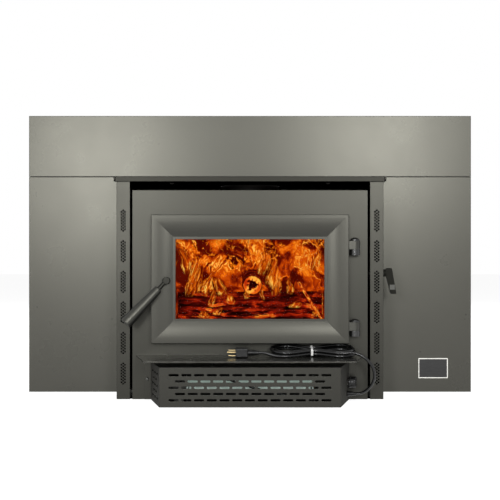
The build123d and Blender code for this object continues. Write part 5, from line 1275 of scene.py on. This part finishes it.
def fastener_tree():
    """Geometry nodes: one screw at each point, turned to the point's direction."""
    wiring, given, identifiers = geometry_tree("Placed screws", [
        ("Screw", "NodeSocketObject", None), ("Size", VALUE, 1.0)])
    way = wiring.make("GeometryNodeInputNamedAttribute", {"data_type": "FLOAT_VECTOR"}, Name="way")
    spin = wiring.make("GeometryNodeInputNamedAttribute", {"data_type": "FLOAT"}, Name="spin")
    turned = wiring.make("FunctionNodeAlignRotationToVector", {"axis": "Z"}, Vector=way)
    own = wiring.make("FunctionNodeAxisAngleToRotation", Angle=spin)
    both = wiring.make("FunctionNodeRotateRotation", {"rotation_space": "LOCAL"}, turned, own)
    screw = wiring.make("GeometryNodeObjectInfo", output="Geometry", Object=given["Screw"])
    spots = wiring.make("GeometryNodeMeshToPoints", Mesh=given["Geometry"])
    laid = wiring.make("GeometryNodeInstanceOnPoints", Points=spots, Instance=screw, Rotation=both,
                       Scale=given["Size"])
    real = wiring.make("GeometryNodeRealizeInstances", Geometry=laid)
    wiring.add("NodeGroupOutput", {}, wiring.make(
        "GeometryNodeSetMaterial", Geometry=real, Material=given["Finish"]))
    return wiring.tree, identifiers


class INSERT_OT_fasteners(bpy.types.Operator):
    """Pan-head screws with six-lobe sockets in place of the plain ones"""
    bl_idname = "insert.fasteners"
    bl_label = "Fasteners"

    def execute(self, context):
        tree, names = fastener_tree()
        dice = random.Random(5)
        for node, body in (("face_screws", INSERT), ("jacket_screws", INSERT), ("surround_screws", INSERT),
                           ("retainer_screws", DOOR)):
            kinds = {}
            for place, way, *sizes in fastener_frames(node):
                kinds.setdefault(tuple(round(size * 1e4) for size in sizes), []).append((place, way, sizes))
            made = []
            for number, frames in enumerate(kinds.values()):
                screw = pattern_screw(*frames[0][2])
                mesh = bare_mesh("spots", [place for place, _, _ in frames], [])
                mesh.attributes.new("way", "FLOAT_VECTOR", "POINT")
                mesh.attributes.new("spin", "FLOAT", "POINT")
                for index, (_, way, _) in enumerate(frames):
                    mesh.attributes["way"].data[index].vector = way
                    mesh.attributes["spin"].data[index].value = dice.uniform(0, pi)
                made.append(grown(linked(f"{node}_{number}", mesh), tree, {
                    names["Screw"]: screw, names["Size"]: 1.0, names["Finish"]: finish("dark steel")}))
                bpy.data.objects.remove(screw)
            for piece in made:
                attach(piece, body)
            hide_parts(node)
        return {"FINISHED"}


# ---------------------------------------------------------------- motor lead and speed knob
# Twisted pair from the fan motor, down across the front of the housing, to the speed control.
MOTOR_LEAD = [
    (-0.1600, -0.2555, 0.0540), (-0.1500, -0.2700, 0.0640), (-0.1200, -0.2760, 0.0665),
    (-0.0850, -0.2760, 0.0660), (-0.0480, -0.2740, 0.0600), (0.0000, -0.2740, 0.0440),
    (0.0525, -0.2740, 0.0303), (0.1163, -0.2740, 0.0167), (0.1450, -0.2720, 0.0120),
    (0.1750, -0.2450, 0.0100), (0.2000, -0.2100, 0.0180), (0.2115, -0.1880, 0.0380),
    (0.2140, -0.1840, 0.0420),
]


def along_points(points, share):
    """A point on the smooth line through the points."""
    place = min(share, 0.99999) * (len(points) - 1)
    index, part = int(place), place - int(place)
    p = [Vector(points[held(index + step, 0, len(points) - 1)]) for step in (-1, 0, 1, 2)]
    return 0.5 * ((2 * p[1]) + (p[2] - p[0]) * part + (2 * p[0] - 5 * p[1] + 4 * p[2] - p[3]) * part ** 2
                  + (3 * p[1] - p[0] - 3 * p[2] + p[3]) * part ** 3)


def across_line(spine, row):
    """Two directions across a line of points, at one of them."""
    ahead = (spine[min(row + 1, len(spine) - 1)] - spine[max(row - 1, 0)]).normalized()
    side = ahead.cross(Vector((0, 1, 0))).normalized()
    return side, ahead.cross(side)


class INSERT_OT_motor_lead(bpy.types.Operator):
    """Twisted pair of wires inside the blower box"""
    bl_idname = "insert.motor_lead"
    bl_label = "Motor lead"

    def execute(self, context):
        rows, sides, radius, apart, turns = 260, 10, 0.0015, 0.0016, 20
        spine = [along_points(MOTOR_LEAD, row / rows) for row in range(rows + 1)]
        points, faces = [], []
        for strand in (0, 1):
            start, middles = len(points), []
            for row, place in enumerate(spine):
                side, rise = across_line(spine, row)
                angle = 2 * pi * turns * row / rows + pi * strand
                middles.append(place + (side * cos(angle) + rise * sin(angle)) * apart)
            for row, middle in enumerate(middles):
                side, rise = across_line(middles, row)
                for angle in (2 * pi * turn / sides for turn in range(sides)):
                    points.append(middle + (side * cos(angle) + rise * sin(angle)) * radius)
            faces += join_grid(rows + 1, sides, round_across=True, start=start)
            faces.append(tuple(range(start + sides - 1, start - 1, -1)))
            faces.append(tuple(range(len(points) - sides, len(points))))
        piece = new_piece("motor_lead", points, faces, finish("rubber"))
        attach(piece, INSERT)
        return {"FINISHED"}


class INSERT_OT_knob(bpy.types.Operator):
    """Fluted speed knob"""
    bl_idname = "insert.knob"
    bl_label = "Speed knob"

    def execute(self, context):
        low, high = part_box("speed_knob")
        # The blower box narrows towards the front: its half widths at the back and the front, and its depth.
        back_half, front_half, depth = 0.2386, 0.2068, 0.141
        splay = atan2(back_half - front_half, depth)
        way, side = Vector((cos(splay), -sin(splay), 0)), Vector((sin(splay), cos(splay), 0))
        up = Vector((0, 0, 1))
        corners = [vertex.co for vertex in NODES["speed_knob"].data.vertices]
        offsets = [corner.dot(side) for corner in corners]
        centre = side * (max(offsets) + min(offsets)) / 2 + up * (low.z + high.z) / 2
        centre += way * max(corner.dot(way) for corner in corners)
        radius, length, flutes = 0.0145, 0.017, 24
        profile = [
            (0.0030, -length - 0.0080), (0.0030, -length + 0.0030), (0.0060, -length + 0.0030),
            (0.0060, -length), (radius * 0.93, -length), (radius * 0.995, -length + 0.0008),
            (radius * 0.99, -length + 0.0035), (radius * 0.93, -length + 0.0045), (radius * 0.915, -0.0030),
            (radius * 0.88, -0.0009), (radius * 0.80, 0.0), (radius * 0.70, -0.0003), (radius * 0.66, -0.0009),
            (radius * 0.30, -0.0009),
        ]
        points, faces = turned_solid(profile, 144, lambda ring, angle, reach: min(radius, reach * (
            1 + (0.014 * cos(flutes * angle) if 7 <= ring <= 9 else 0))))
        turn = Matrix((side, up, way)).transposed()
        piece = new_piece("fluted_knob", [centre + turn @ point for point in points], faces, finish("knob"))
        piece.data.set_sharp_from_angle(angle=radians(40))
        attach(piece, KNOB)
        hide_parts("speed_knob")
        return {"FINISHED"}


# ---------------------------------------------------------------- panel, registration and run
STEPS = ("camera", "lead", "finishes", "logs", "embers", "flames", "gaskets", "fasteners", "motor_lead",
         "knob", "stage")
SETTINGS = {"insert_finish": FinishSettings, "insert_fire": FireSettings, "insert_lead": LeadSettings,
            "insert_stage": StageSettings}


class INSERT_PT_panel(bpy.types.Panel):
    """Lists the pieces of the fireplace insert"""
    bl_label = "Fireplace insert"
    bl_idname = "INSERT_PT_panel"
    bl_space_type = "VIEW_3D"
    bl_region_type = "UI"
    bl_category = "Fireplace insert"

    def draw(self, context):
        for key, group in SETTINGS.items():
            box = self.layout.box()
            for name in group.__annotations__:
                box.prop(getattr(context.scene, key), name)
        for step in STEPS:
            self.layout.operator(f"insert.{step}")


CLASSES = (
    *SETTINGS.values(), INSERT_OT_camera, INSERT_OT_lead, INSERT_OT_finishes, INSERT_OT_logs,
    INSERT_OT_embers, INSERT_OT_flames, INSERT_OT_gaskets, INSERT_OT_fasteners, INSERT_OT_motor_lead,
    INSERT_OT_knob, INSERT_OT_stage, INSERT_PT_panel,
)


def register():
    for item in CLASSES:
        bpy.utils.register_class(item)
    for name, group in SETTINGS.items():
        setattr(bpy.types.Scene, name, bpy.props.PointerProperty(type=group))


def unregister():
    for name in SETTINGS:
        delattr(bpy.types.Scene, name)
    for item in reversed(CLASSES):
        bpy.utils.unregister_class(item)


def main():
    register()
    for step in STEPS:
        getattr(bpy.ops.insert, step)()
    bpy.context.view_layer.update()


if __name__ == "__main__":
    main()
